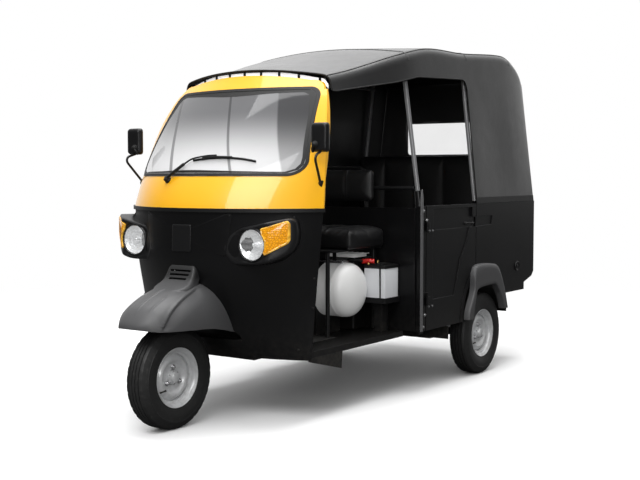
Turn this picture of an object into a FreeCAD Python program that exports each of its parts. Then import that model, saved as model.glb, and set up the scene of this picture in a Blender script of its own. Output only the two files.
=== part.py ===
import FreeCAD, Part

import math
import os
import re

from FreeCAD import Placement, Rotation, Vector

# Auto rickshaw: one front wheel, two rear wheels, steel cab front and folding hood.
# Stations run rearward from the front axle, heights from the ground, and X is the
# distance from the centre plane, positive on the vehicle's left. All sizes in mm.

SIZES = {
    "main": {
        "wheelbase": 2100,
        "body_half_width": 600,
        "body_end": 2800,
        "belt_height": 1022,
        "header_height": 1600,
        "seat_box_height": 640,
    },
    "wheels": {
        "rear_half_track": "=body_half_width - 68",
        "tyre_radius": 242,
        "tyre_half_width": 61,
        "tread_half_width": 46,
        "rim_flange_radius": 141,
        "rim_half_width": 51.7,
        "bead_radius": 126.5,
        "rim_well_radius": 112,
        "rim_gauge": 3.5,
        "disc_offset": 14,
        "disc_bulge": 16,
        "bulge_radius": 84,
        "hub_face_radius": 56,
        "hub_radius": 34,
        "drum_radius": 92,
        "drum_depth": 50,
        "axle_radius": 12,
        "seat_clearance": 0.3,
        "running_clearance": 0.08,
    },
    "steering": {
        "rake": 27,
        "axis_station": 40,
        "column_radius": 17,
        "head_tube_radius": 27,
        "head_tube_low": 640,
        "head_tube_high": 800,
        "column_top": 1165,
        "crown_height": 515,
        "leg_offset": 108,
        "leg_radius": 15,
        "link_pivot_station": -95,
        "link_pivot_height": 300,
        "link_thickness": 22,
        "link_boss_radius": 26,
        "bar_radius": 11,
        "bar_half_width": 340,
        "bar_rise": 35,
        "bar_sweep": 70,
        "grip_radius": 17,
        "grip_length": 120,
        "damper_radius": 26,
    },
    "chassis": {
        "rail_offset": 215,
        "rail_width": 50,
        "rail_depth": 60,
        "bearer_front": 330,
        "bearer_depth": 20,
        "rail_front": 760,
        "rail_end": 2690,
        "bumper_hole_radius": 5.5,
        "bumper_hole_spacing": 320,
        "floor_height": 345,
        "floor_gauge": 30,
        "floor_half_width": "=body_half_width - 95",
        "tunnel_half_width": 218,
        "tunnel_top_half_width": 166,
        "tunnel_end": 300,
        "tunnel_low": 400,
        "apron_depth": 84,
        "sheet": 3,
    },
    "shield": {
        "panel": 4,
        "belt_half_width": "=body_half_width - 10",
        "belt_edge_station": 407,
        "belt_nose_station": 85,
        "nose_height": 717,
        "waist_height": 581,
        "waist_half_width": "=body_half_width - 55",
        "waist_nose_station": 150,
        "sill_height": 309,
        "sill_half_width": "=body_half_width - 80",
        "sill_nose_station": 290,
        "vent_low": 692,
        "vent_half_width": 62,
        "vent_height": 8,
        "vent_pitch": 18.5,
        "fairing_top": 758,
        "fairing_half_width": 84,
    },
    "mudguard": {
        "guard_root_height": 686,
        "guard_root_station": 100,
        "guard_end_station": 286,
        "guard_half_width": 190,
        "guard_tip_station": -262,
        "guard_tip_height": 505,
        "guard_edge_rear": 422,
        "guard_edge_front": 478,
        "guard_gauge": 4,
    },
    "lamps": {
        "lamp_offset": "=body_half_width - 233",
        "lamp_height": 863,
        "lamp_station": 143,
        "lens_radius": 69,
        "lens_stand": 10,
        "plate_stand": 8,
        "indicator_reach": 164,
        "indicator_station": 213,
        "indicator_gauge": 16,
    },
    "screen": {
        "scuttle_height": 1164,
        "scuttle_half_width": "=body_half_width - 25",
        "scuttle_edge_station": 439,
        "scuttle_nose_station": 150,
        "header_half_width": "=body_half_width - 132",
        "header_edge_station": 615,
        "header_nose_station": 495,
        "roof_edge_height": "=header_height + 90",
        "roof_edge_half_width": "=body_half_width - 180",
        "roof_edge_station": 682,
        "roof_edge_nose_station": 565,
        "header_crown": "=header_height + 75",
        "header_bend": "=header_height + 43",
        "header_foot": "=header_height - 4",
        "pillar_gauge": 26,
        "screen_low": 1176,
        "screen_high": "=header_height + 8",
        "screen_low_half_width": "=scuttle_half_width - 52",
        "screen_high_half_width": "=header_half_width - 18",
        "screen_corner": 66,
        "seal_width": 14,
        "glass_gauge": 5,
        "moulding_height": 18,
        "moulding_gauge": 8,
    },
    "mirrors": {
        "mirror_base_offset": "=scuttle_half_width - 12",
        "mirror_base_station": 423,
        "mirror_base_height": "=belt_height + (header_height - belt_height) * 0.206",
        "mirror_offset": "=scuttle_half_width + 10",
        "mirror_station": 386,
        "mirror_height": "=belt_height + (header_height - belt_height) * 0.576",
        "mirror_half_width": 44,
        "mirror_half_height": 68,
        "mirror_depth": 34,
        "arm_radius": 6,
    },
    "cab": {
        "pillar_station": 1306,
        "pillar_half_width": "=body_half_width - 2",
        "partition_station": 1290,
        "partition_height": 1005,
        "partition_gauge": 12,
        "seat_height": 905,
        "seat_gauge": 110,
        "seat_half_width": "=body_half_width - 200",
        "seat_depth": 340,
        "backrest_low": "=partition_height + 35",
        "backrest_high": "=partition_height + 205",
        "back_rail_height": "=partition_height + 105",
        "backrest_half_width": "=body_half_width - 270",
        "rail_tube_radius": 11,
        "dash_height": 1130,
        "dash_depth": 95,
        "dash_gauge": 8,
    },
    "fuel": {
        "cylinder_station": 985,
        "cylinder_height": 583,
        "cylinder_radius": 141,
        "cylinder_half_length": 420,
        "cylinder_dome": 70,
        "battery_offset": "=body_half_width - 186",
        "battery_width": 128,
        "battery_length": 138,
        "battery_base": 506,
        "battery_height": 200,
        "battery_station": 1232,
        "tank_offset": 60,
        "tank_width": 230,
        "tank_depth": 120,
        "tank_height": 380,
        "cap_radius": 26,
        "cap_height": 28,
    },
    "body": {
        "body_top": 1015,
        "body_low": 342,
        "tail_low": 520,
        "skirt_low": 457,
        "skirt_end": 2652,
        "door_front": 1372,
        "door_rear": 1962,
        "door_gap": 8,
        "door_gauge": 28,
        "skin": 4,
        "wall": 28,
        "recess_depth": 6,
        "recess_front": 1446,
        "recess_low": 506,
        "recess_high": 997,
        "band_low": 882,
        "band_high": 940,
        "arch_height": 350,
        "arch_radius": 290,
        "arch_surround": 34,
        "liner_offset": "=body_half_width - 145",
        "hinge_out": 8,
        "hinge_back": 4,
        "hinge_radius": 7,
        "hinge_pin_radius": 3.5,
        "hinge_length": 44,
        "hinge_low": 480,
        "hinge_high": 880,
        "fender_flare": 36,
        "fender_gauge": 5,
        "passenger_floor": 400,
        "seat_box_station": 2040,
        "cushion_gauge": 140,
        "bench_end": 2560,
        "bench_half_width": "=body_half_width - 60",
        "cushion_half_width": "=body_half_width - 160",
        "bench_back_high": "=seat_box_height + 664",
        "lamp_radius": 45,
        "tail_lamp_inset": 110,
        "tail_lamp_height": 800,
        "tail_lamp_depth": 26,
    },
    "hood": {
        "hood_gauge": 8,
        "hood_side_half_width": "=body_half_width - 95",
        "hood_front_station": 663,
        "hood_front_nose": 560,
        "hood_front_edge": "=header_height + 36",
        "hood_front_crown": "=header_height + 92",
        "hood_front_half_width": "=header_half_width - 20",
        "hood_slope_station": 820,
        "hood_slope_edge": "=header_height + 98",
        "hood_mid_station": 1275,
        "hood_mid_edge": "=header_height + 220",
        "hood_mid_crown": "=header_height + 266",
        "hood_ridge_station": 1575,
        "hood_ridge_edge": "=header_height + 278",
        "hood_rear_edge": "=header_height + 320",
        "hood_rear_crown": "=header_height + 340",
        "hood_rear_station": 2500,
        "hood_tail_edge": "=header_height + 168",
        "hood_corner": 45,
        "valance_front": "=header_height - 10",
        "valance_mid": "=header_height + 108",
        "valance_rear": "=header_height + 131",
        "quarter_station": 1975,
        "opening_corner": 60,
        "window_half_width": 340,
        "window_low": "=header_height - 285",
        "window_high": "=header_height - 67",
        "bow_radius": 12,
    },
    "drive": {
        "engine_station": 2330,
        "engine_half_width": 190,
        "engine_length": 420,
        "engine_base": 200,
        "engine_height": "=seat_box_height - 110 - engine_base",
        "arm_pivot_station": 1740,
        "arm_offset": "=rear_half_track - 112",
        "arm_tube_radius": 22,
        "arm_bush_radius": 27,
        "arm_bush_length": 80,
        "shaft_radius": 14,
    },
}

doc = FreeCAD.newDocument("AutoRickshaw")
sheet = doc.addObject("Spreadsheet::Sheet", "Dims")


def fill_sheet():
    """Write every size as one row: its name in words and its value, with an alias."""
    row = 1
    for group, values in SIZES.items():
        sheet.set(f"A{row}", group)
        row += 1
        for name, value in values.items():
            sheet.set(f"A{row}", name.replace("_", " "))
            sheet.set(f"B{row}", str(value))
            sheet.setAlias(f"B{row}", name)
            row += 1
    doc.recompute()


fill_sheet()

FUNCTIONS = {"sqrt", "sin", "cos", "tan", "abs", "min", "max"}


def bound(expression):
    """Turn sizes named in an expression into references to the sheet."""
    def refer(match):
        word = match.group(0)
        return word if word in FUNCTIONS else "Dims." + word
    return re.sub(r"[a-z][a-z_0-9]*", refer, str(expression))


def size(expression):
    """Value of an expression of sheet sizes."""
    value = sheet.evalExpression(bound(expression))
    return float(getattr(value, "Value", value))


ORIGIN_STATION = "(guard_tip_station + body_end) / 2"
NODES = []


def station(expression):
    """Expression for the model's Y at a station behind the front axle."""
    return f"({expression}) - {ORIGIN_STATION}"


def shift():
    return Placement(Vector(0, -size(ORIGIN_STATION), 0), Rotation())


def bind(obj, **expressions):
    for name, expression in expressions.items():
        obj.setExpression(name.replace("__", "."), bound(expression))
    return obj


def place(obj, x="0", y="0", z="0"):
    """Bind an object's position: x, station y and height z are expressions."""
    for axis, expression in (("x", x), ("y", station(y)), ("z", z)):
        obj.setExpression(f"Placement.Base.{axis}", bound(expression))
    return obj


def node(obj, label):
    obj.Label = label
    NODES.append(obj)
    return obj


def shape_node(label, shape):
    """A sub-part whose shape is made directly, in stations."""
    obj = doc.addObject("Part::Feature", label)
    obj.Shape = shape
    obj.Placement = shift()
    return node(obj, label)


# Parametric helpers

def make_box(name, length, width, height, x, y, z):
    """Box centred on x, starting at station y and height z."""
    obj = doc.addObject("Part::Box", name)
    bind(obj, Length=length, Width=width, Height=height)
    return place(obj, f"({x}) - ({length}) / 2", y, z)


def make_compound(name, parts):
    obj = doc.addObject("Part::Compound", name)
    obj.Links = parts
    return obj


def make_fuse(name, parts):
    obj = doc.addObject("Part::MultiFuse", name)
    obj.Shapes = parts
    obj.Refine = True
    return obj


def make_cut(name, base, tool):
    obj = doc.addObject("Part::Cut", name)
    obj.Base = base
    obj.Tool = tool
    obj.Refine = True
    return obj


def origin_plane(body, role):
    for feature in body.Origin.OriginFeatures:
        if feature.Role == role:
            return feature
    raise ValueError(role)


def outline_sketch(body, role, points, name):
    """Closed outline whose corners are pairs of expressions, each one bound."""
    sketch = body.newObject("Sketcher::SketchObject", name)
    sketch.AttachmentSupport = (origin_plane(body, role), [""])
    sketch.MapMode = "FlatFace"
    return draw_outline(sketch, points)


def draw_outline(sketch, points):
    import Sketcher
    spots = [Vector(size(u), size(v), 0) for u, v in points]
    first = sketch.GeometryCount
    for index, spot in enumerate(spots):
        following = spots[(index + 1) % len(spots)]
        sketch.addGeometry(Part.LineSegment(spot, following), False)
    for index in range(len(points)):
        after = first + (index + 1) % len(points)
        sketch.addConstraint(Sketcher.Constraint("Coincident", first + index, 2, after, 1))
    for index, (u, v) in enumerate(points):
        for kind, expression, value in (("DistanceX", u, spots[index].x), ("DistanceY", v, spots[index].y)):
            number = sketch.addConstraint(Sketcher.Constraint(kind, -1, 1, first + index, 1, value))
            sketch.setExpression(f"Constraints[{number}]", bound(expression))
    return sketch


def make_body(name):
    return doc.addObject("PartDesign::Body", name)


def pad(body, sketch, length, reverse=False, midplane=False):
    feature = body.newObject("PartDesign::Pad", sketch.Name + "_pad")
    feature.Profile = sketch
    feature.Reversed = reverse
    feature.Midplane = midplane
    feature.setExpression("Length", bound(length))
    return feature


def revolve(body, sketch, axis="H_Axis"):
    feature = body.newObject("PartDesign::Revolution", sketch.Name + "_turn")
    feature.Profile = sketch
    feature.ReferenceAxis = (sketch, [axis])
    feature.Angle = 360
    return feature


def round_edges(body, base, radius, chosen):
    """Fillet the edges of base that the chosen test picks."""
    doc.recompute()
    names = [f"Edge{i + 1}" for i, edge in enumerate(base.Shape.Edges) if chosen(edge)]
    feature = body.newObject("PartDesign::Fillet", base.Name + "_round")
    feature.Base = (base, names)
    feature.setExpression("Radius", bound(radius))
    return feature


# Shape helpers

def bent_path(points, bend):
    """Wire through the points with a tangent arc of about the bend radius at each corner."""
    spots = [Vector(*p) for p in points]
    edges = []
    start = spots[0]
    for before, corner, after in zip(spots, spots[1:], spots[2:]):
        to_back = (before - corner).normalize()
        to_next = (after - corner).normalize()
        turn = math.pi - to_back.getAngle(to_next)
        reach = min(bend * math.tan(turn / 2), (before - corner).Length * 0.45,
                    (after - corner).Length * 0.45)
        enter = corner + to_back * reach
        leave = corner + to_next * reach
        radius = reach / math.tan(turn / 2)
        inward = (to_back + to_next).normalize()
        middle = corner + inward * (math.hypot(radius, reach) - radius)
        edges.append(Part.LineSegment(start, enter).toShape())
        edges.append(Part.Arc(enter, middle, leave).toShape())
        start = leave
    edges.append(Part.LineSegment(start, spots[-1]).toShape())
    return Part.Wire(edges)


def tube(points, radius, bend=40):
    """Solid round bar along a bent path."""
    path = bent_path(points, bend)
    edge = path.Edges[0]
    heading = edge.tangentAt(edge.FirstParameter)
    ring = Part.Wire([Part.Circle(edge.valueAt(edge.FirstParameter), heading, radius).toShape()])
    return path.makePipeShell([ring], True, True)


def mirrored(shape):
    return shape.mirror(Vector(0, 0, 0), Vector(1, 0, 0))


def both_sides(shape):
    return Part.makeCompound([shape, mirrored(shape)])


def prism(points, plane, start, end):
    """Solid from an outline drawn in the YZ, XZ or XY plane, from start to end across it."""
    to_space = {
        "YZ": lambda u, v: Vector(start, u, v),
        "XZ": lambda u, v: Vector(u, start, v),
        "XY": lambda u, v: Vector(u, v, start),
    }[plane]
    across = {"YZ": Vector(1, 0, 0), "XZ": Vector(0, 1, 0), "XY": Vector(0, 0, 1)}[plane]
    wire = Part.makePolygon([to_space(u, v) for u, v in points + points[:1]])
    return Part.Face(wire).extrude(across * (end - start))


def bowed_section(height, half_width, edge, nose, back):
    """D-shaped plan at one height: a bow over the front and a straight back."""
    left = Vector(half_width, edge, height)
    right = Vector(-half_width, edge, height)
    bow = Part.Arc(left, Vector(0, nose, height), right).toShape()
    rear_right = Vector(-half_width, back, height)
    rear_left = Vector(half_width, back, height)
    sides = [Part.LineSegment(right, rear_right), Part.LineSegment(rear_right, rear_left),
             Part.LineSegment(rear_left, left)]
    return Part.Wire([bow] + [side.toShape() for side in sides])


def bowed_loft(levels, inset=0.0, back=0.0):
    """Solid behind a bowed front, inset all round by a panel's thickness."""
    wires = [bowed_section(level, half - inset, edge, nose + inset, back or edge + 1)
             for level, half, edge, nose in levels]
    return Part.makeLoft(wires, True, False)


# Wheels

def make_tyre(name, x, y):
    body = make_body(name)
    inner = "bead_radius + seat_clearance"
    sketch = outline_sketch(body, "XY_Plane", [
        ("-rim_half_width + 10", inner),
        ("rim_half_width - 10", inner),
        ("rim_half_width - 4", "rim_flange_radius + 2"),
        ("tyre_half_width - 1", "rim_flange_radius + 26"),
        ("tyre_half_width", "tyre_radius - 44"),
        ("tread_half_width + 8", "tyre_radius - 14"),
        ("tread_half_width - 10", "tyre_radius - 2"),
        ("0", "tyre_radius"),
        ("-tread_half_width + 10", "tyre_radius - 2"),
        ("-tread_half_width - 8", "tyre_radius - 14"),
        ("-tyre_half_width", "tyre_radius - 44"),
        ("-tyre_half_width + 1", "rim_flange_radius + 26"),
        ("-rim_half_width + 4", "rim_flange_radius + 2"),
    ], name + "_profile")
    revolve(body, sketch)
    place(body, x, y, "tyre_radius")
    return node(body, name)


def make_rim(name, x, y, side):
    """Pressed steel wheel with its drum, turned about the axle; side +1 faces left."""
    body = make_body(name)
    s = "" if side > 0 else "-1 * "
    outline = [
        ("rim_half_width", "rim_flange_radius"),
        ("rim_half_width - 4", "rim_flange_radius"),
        ("rim_half_width - 8", "bead_radius"),
        ("24", "bead_radius - 1"),
        ("18", "rim_well_radius"),
        ("-18", "rim_well_radius"),
        ("-24", "bead_radius - 1"),
        ("-rim_half_width + 8", "bead_radius"),
        ("-rim_half_width + 4", "rim_flange_radius"),
        ("-rim_half_width", "rim_flange_radius"),
        ("-rim_half_width", "bead_radius - rim_gauge"),
        ("-26", "bead_radius - 1 - rim_gauge"),
        ("-20", "rim_well_radius - rim_gauge"),
        ("disc_offset - 6", "rim_well_radius - rim_gauge"),
        ("disc_offset + disc_bulge - rim_gauge", "bulge_radius"),
        ("disc_offset - rim_gauge", "hub_face_radius + 6"),
        ("disc_offset - rim_gauge", "drum_radius - 28"),
        ("disc_offset - 10", "drum_radius"),
        ("disc_offset - drum_depth", "drum_radius"),
        ("disc_offset - drum_depth", "axle_radius + running_clearance"),
        ("disc_offset + 26", "axle_radius + running_clearance"),
        ("disc_offset + 26", "hub_radius - 8"),
        ("disc_offset + 18", "hub_radius"),
        ("disc_offset", "hub_radius + 2"),
        ("disc_offset", "hub_face_radius"),
        ("disc_offset + disc_bulge", "bulge_radius"),
        ("disc_offset + 2", "rim_well_radius - rim_gauge - 1"),
        ("20", "rim_well_radius - rim_gauge"),
        ("26", "bead_radius - 1 - rim_gauge"),
        ("rim_half_width", "bead_radius - rim_gauge"),
    ]
    outline = outline[:15] + outline[17:]
    points = [(f"{s}({u})", v) for u, v in outline]
    sketch = outline_sketch(body, "XY_Plane", points, name + "_profile")
    revolve(body, sketch)
    place(body, x, y, "tyre_radius")
    return node(body, name)


def make_wheels():
    make_rim("front_rim", "0", "0", 1)
    make_tyre("front_tyre", "0", "0")
    for side, word in ((1, "left"), (-1, "right")):
        x = f"{side} * rear_half_track"
        make_rim(f"rear_rim_{word}", x, "wheelbase", side)
        make_tyre(f"rear_tyre_{word}", x, "wheelbase")


# Steering

def axis_station(height):
    """Station of the steering axis at a height."""
    return size("axis_station") + math.tan(math.radians(size("rake"))) * (height - size("tyre_radius"))


def on_axis(height, x=0.0, offset=0.0):
    """Point on the steering axis at a height, moved forward by an offset."""
    return (x, axis_station(height) - offset, height)


def make_column():
    """Steering column, crown above the tyre and the single leg beside it."""
    leg = size("leg_offset")
    crown = size("crown_height")
    pivot = (-leg, size("link_pivot_station"), size("link_pivot_height"))
    column = tube([on_axis(size("column_top")), on_axis(crown)], size("column_radius"))
    arm = tube([on_axis(crown + 16), (-leg, axis_station(crown) - 30, crown - 18), pivot],
               size("leg_radius"), 50)
    reach = size("leg_radius") + 1
    boss = Part.makeCylinder(size("link_boss_radius"), 2 * reach, Vector(-leg - reach, pivot[1], pivot[2]),
                             Vector(1, 0, 0))
    shape_node("steering_column", column.fuse([arm, boss]).removeSplitter())


def make_front_link():
    """Trailing link from the leg's foot to the axle, with the stub axle in it."""
    leg = size("leg_offset")
    thick = size("link_thickness")
    gap = size("seat_clearance")
    outer = -leg + size("leg_radius") + 1 + gap
    radius = size("link_boss_radius")
    y0, z0 = size("link_pivot_station"), size("link_pivot_height")
    z1 = size("tyre_radius")
    pivot = Part.makeCylinder(radius, thick, Vector(outer, y0, z0), Vector(1, 0, 0))
    eye = Part.makeCylinder(radius, thick, Vector(outer, 0, z1), Vector(1, 0, 0))
    length = math.hypot(y0, z0 - z1)
    bar = Part.makeBox(thick - 4, length, radius * 1.4,
                       Vector(outer + 2, 0, -radius * 0.7))
    angle = math.degrees(math.atan2(z0 - z1, y0))
    bar.rotate(Vector(0, 0, 0), Vector(1, 0, 0), angle)
    bar.translate(Vector(0, 0, z1))
    axle = Part.makeCylinder(size("axle_radius"), size("disc_offset + 24") - outer,
                             Vector(outer, 0, z1), Vector(1, 0, 0))
    shape_node("front_link", pivot.fuse([eye, bar, axle]).removeSplitter())


def make_front_damper():
    """Coil spring unit beside the wheel, as one turned body between its two eyes."""
    leg = size("leg_offset")
    radius = size("damper_radius")
    aside = size("leg_radius") + radius + 2
    low = Vector(-leg - aside, -10, size("tyre_radius") + 10)
    high = Vector(-leg - aside, axis_station(470) - 58, 470)
    heading = (high - low).normalize()
    length = (high - low).Length
    body = Part.makeCylinder(radius, length - 90, low + heading * 30, heading)
    rod = Part.makeCylinder(9, length, low, heading)
    low_pin = Part.makeCylinder(9, aside + size("leg_radius") + 1, low, Vector(1, 0, 0))
    high_pin = Part.makeCylinder(9, aside - size("leg_radius") - 0.3, high, Vector(1, 0, 0))
    shape_node("front_damper", body.fuse([rod, low_pin, high_pin]).removeSplitter())


def make_handlebar():
    half = size("bar_half_width")
    sweep = size("bar_sweep")
    top = size("column_top")
    rise = size("bar_rise")
    y = axis_station(top + rise)
    points = [(-half, y + sweep, top + rise), (-110, y, top + rise - 10), (110, y, top + rise - 10),
              (half, y + sweep, top + rise)]
    bar = tube(points, size("bar_radius"), 120)
    foot = Vector(*on_axis(top))
    heading = (Vector(*on_axis(top + 100)) - foot).normalize()
    stem_foot = foot + heading * size("seat_clearance")
    stem = Part.makeCylinder(size("column_radius") + 6, rise - 4, stem_foot, heading)
    shapes = [stem]
    for side in (1, -1):
        heading = Vector(side * (half - 110), sweep, 10).normalize()
        start = Vector(side * half, y + sweep, top + rise) - heading * size("grip_length")
        shapes.append(Part.makeCylinder(size("grip_radius"), size("grip_length"), start, heading))
    shape_node("handlebar", bar.fuse(shapes).removeSplitter())


# Chassis

def down_tube(radius):
    """Tube from the steering head to the front cross member."""
    start = on_axis(size("head_tube_low") + 90)
    foot = size("floor_height - floor_gauge") + 4
    return tube([start, (0, size("bearer_front + rail_width / 2"), foot)], radius)


def make_head():
    """Raked steering head with its down tube, bored for the column."""
    low, high = size("head_tube_low"), size("head_tube_high")
    bore = size("column_radius + running_clearance")
    start = Vector(*on_axis(low))
    heading = Vector(*on_axis(high)) - start
    radius = size("head_tube_radius")
    head = Part.makeCylinder(radius, heading.Length, start, heading)
    hole = Part.makeCylinder(bore, heading.Length + 80, start - heading.normalize() * 40, heading)
    front = doc.addObject("Part::Feature", "head_assembly")
    front.Shape = head.fuse(down_tube(radius)).cut(hole)
    front.Placement = shift()
    return front


def make_chassis():
    """Two rails, cross members, floor bearers, pivot cheeks and the raked steering head."""
    base = "floor_height - floor_gauge - rail_depth"
    top = "floor_height - floor_gauge"
    bearer = f"passenger_floor - sheet - seat_clearance - ({top})"
    parts = []
    for side in (1, -1):
        word = "left" if side > 0 else "right"
        parts.append(make_box(f"rail_{word}", "rail_width", "rail_end - rail_front", "rail_depth",
                              f"{side} * rail_offset", "rail_front", base))
        parts.append(make_box(f"bearer_{word}", "rail_width", "rail_front - bearer_front", "bearer_depth",
                              f"{side} * rail_offset", "bearer_front", f"{top} - bearer_depth"))
        for shift_x, end in (("-arm_bush_length / 2 - 5 - seat_clearance", "inner"),
                             ("arm_bush_length / 2 + 5 + seat_clearance", "outer")):
            parts.append(make_box(f"cheek_{word}_{end}", "10", "arm_bush_radius + 62", "rail_depth",
                                  f"{side} * (arm_offset + ({shift_x}))", "arm_pivot_station - 60", base))
    narrow, wide = "2 * rail_offset + rail_width", "2 * arm_offset + 110"
    for index, (spot, width) in enumerate((("rail_front", narrow), ("partition_station", narrow),
                                           ("arm_pivot_station - 90", wide),
                                           ("rail_end - rail_width", narrow))):
        parts.append(make_box(f"cross_{index}", width, "rail_width", "rail_depth", "0", spot, base))
    for index, (spot, width) in enumerate((("partition_station + 90", "2 * body_half_width - 100"),
                                           ("seat_box_station - 110", "2 * liner_offset - 40"))):
        parts.append(make_box(f"bearer_{index}", width, "rail_width", bearer, "0", spot, top))
    parts.append(make_box("front_cross", narrow, "rail_width", "bearer_depth", "0", "bearer_front",
                          f"{top} - bearer_depth"))
    parts.append(make_head())
    frame = make_fuse("chassis_members", parts)
    drills = []
    for side in (1, -1):
        drill = doc.addObject("Part::Cylinder", f"bumper_hole_{'left' if side > 0 else 'right'}")
        bind(drill, Radius="bumper_hole_radius", Height="rail_width * 3")
        drill.Placement.Rotation = Rotation(Vector(1, 0, 0), -90)
        place(drill, f"{side} * bumper_hole_spacing / 2", "rail_end - 2 * rail_width",
              f"{base} + rail_depth / 2")
        drills.append(drill)
    node(make_cut("chassis_frame", frame, make_compound("bumper_holes", drills)), "chassis_frame")


def tunnel_outline(grow=0.0):
    """Side outline of the front wheel's housing: raked back wall and top."""
    end, low = size("tunnel_end"), size("tunnel_low")
    return [
        (-420, low - grow), (end + grow, low - grow), (end + grow, low + 30),
        (end - 50 + grow, 530), (end - 180 + grow, size("guard_root_height") - 20 + grow), (-420, 760 + grow),
    ]


def make_housing():
    """Sheet pocket behind the mouth of the shield, over the front wheel's crown."""
    gauge = size("sheet")
    wide, narrow = size("tunnel_half_width"), size("tunnel_top_half_width")

    def front_view(inset):
        a, b = wide - inset, narrow - inset
        return [(a, 150), (a, 420), (b, 475), (b, 800), (-b, 800), (-b, 475), (-a, 420), (-a, 150)]

    outer = prism(tunnel_outline(gauge), "YZ", -400, 400)
    outer = outer.common(prism(front_view(0), "XZ", -500, 900))
    inner = prism(tunnel_outline(0), "YZ", -400, 400).common(prism(front_view(gauge), "XZ", -500, 900))
    shell = outer.cut(inner).common(shield_volume(size("panel") + 0.5, 900))
    start = Vector(*on_axis(400))
    hole = Part.makeCylinder(size("head_tube_radius") + 22, 600, start,
                             Vector(*on_axis(900)) - start)
    shape_node("wheel_housing", shell.cut(hole).cut(down_tube(size("head_tube_radius") + 2)))


def make_floor():
    """Driver's floor, pressed pan fitting inside the shield and round the wheel housing."""
    height = size("floor_height")
    gauge = size("floor_gauge")
    rear = size("partition_station")
    half = size("floor_half_width")
    plate = Part.makeBox(2 * half, rear - 100, gauge, Vector(-half, 100, height - gauge))
    plate = plate.common(shield_volume(size("panel") + 0.5, rear))
    shape_node("floor_pan", plate.cut(down_tube(size("head_tube_radius") + 1)))


def make_apron():
    """Side flaps below the driver's floor and the splash sheet ahead of the rear wheels."""
    low = size("floor_height") - size("floor_gauge")
    x = size("floor_half_width")
    front = size("belt_edge_station") + 3
    depth = size("apron_depth")
    flap = prism([(front, low), (front, low - 14), (front + 280, low - depth), (front + 288, low)],
                 "YZ", x - 4, x)
    half = size("body_half_width") - 10
    y = size("arm_pivot_station") - 94 - size("seat_clearance")
    splash = Part.makeBox(2 * half, 4, 72, Vector(-half, y, 262))
    for side in (1, -1):
        slot = Part.makeBox(size("rail_width") + 1, 30, low - 250 + 0.3,
                            Vector(side * size("rail_offset") - size("rail_width") / 2 - 0.5, y - 10, 250))
        splash = splash.cut(slot)
    shape_node("splash_aprons", Part.makeCompound([flap, mirrored(flap), splash]))


# Front shell

def shield_levels():
    edge = size("belt_edge_station")
    names = (("sill_height", "sill_half_width", "sill_nose_station"),
             ("waist_height", "waist_half_width", "waist_nose_station"))
    levels = [(size(h), size(w), edge, size(n)) for h, w, n in names]
    low, high = levels
    half = low[1] + (high[1] - low[1]) * 0.5
    levels.insert(1, ((low[0] + high[0]) / 2, half, edge, low[3] * 0.45 + high[3] * 0.55))
    belt = size("belt_height")
    nose = size("nose_height")
    share = (nose - high[0]) / (belt - high[0])
    width = high[1] + (size("belt_half_width") - high[1]) * share
    top = size("belt_nose_station")
    levels.append((nose, width, edge, top + 16))
    levels.append(((nose + belt) / 2, (width + size("belt_half_width")) / 2, edge, top + 2))
    levels.append((belt, size("belt_half_width"), edge, top))
    return levels


def shield_volume(inset, back):
    return bowed_loft(shield_levels(), inset, back)


def vents():
    """Three slots over the mudguard, as one tool."""
    half, height = size("vent_half_width"), size("vent_height")
    low, pitch = size("vent_low"), size("vent_pitch")
    slots = [Part.makeBox(2 * half, 120, height, Vector(-half, 0, low + index * pitch)) for index in range(3)]
    return Part.makeCompound(slots)


def make_shield():
    """Bowed front panel, open at the back, with the mouth for the fork's crown and three vents."""
    edge = size("belt_edge_station")
    shell = shield_volume(0, edge + 1).cut(shield_volume(size("panel"), edge + 60))
    a = size("tunnel_half_width") + 0.5
    b = size("guard_half_width") - 32
    top = size("guard_root_height") - 34
    low = size("tunnel_low") - size("sheet")
    mouth = prism([(a, low), (a, 420), (b, 475), (b, top - 60), (b - 60, top), (60 - b, top),
                   (-b, top - 60), (-b, 475), (-a, 420), (-a, low)], "XZ", -100, 330)
    shell = shell.cut(mouth)
    shape_node("front_shield", shell.cut(vents()))


def guard_section(station_y, top, half, low, inset):
    """Arched section of the mudguard at one station."""
    top -= inset
    half -= inset
    shoulder = low + (top - low) * 0.55
    points = [Vector(half, station_y, low), Vector(half, station_y, shoulder)]
    sides = Part.LineSegment(*points).toShape()
    arch = Part.Arc(Vector(half, station_y, shoulder), Vector(0, station_y, top),
                    Vector(-half, station_y, shoulder)).toShape()
    down = Part.LineSegment(Vector(-half, station_y, shoulder), Vector(-half, station_y, low)).toShape()
    base = Part.LineSegment(Vector(-half, station_y, low), Vector(half, station_y, low)).toShape()
    return Part.Wire([sides, arch, down, base])


def guard_volume(inset):
    tip = size("guard_tip_station")
    root = size("guard_root_station")
    rear = size("guard_end_station")
    half = size("guard_half_width")
    tip_top = size("guard_tip_height") + 30
    top = size("guard_root_height")
    low = size("guard_edge_rear") - 20
    span = root - tip
    sections = [
        (tip + inset * 1.5, tip_top - 6, half * 0.38, low),
        (tip + span * 0.2, tip_top + (top - tip_top) * 0.42, half * 0.71, low),
        (tip + span * 0.55, tip_top + (top - tip_top) * 0.76, half * 0.89, low),
        (root, top, half, low),
        (rear, top + 6, half, low),
    ]
    wires = [guard_section(s, t, h, l, inset) for s, t, h, l in sections]
    return Part.makeLoft(wires, True, False)


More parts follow.
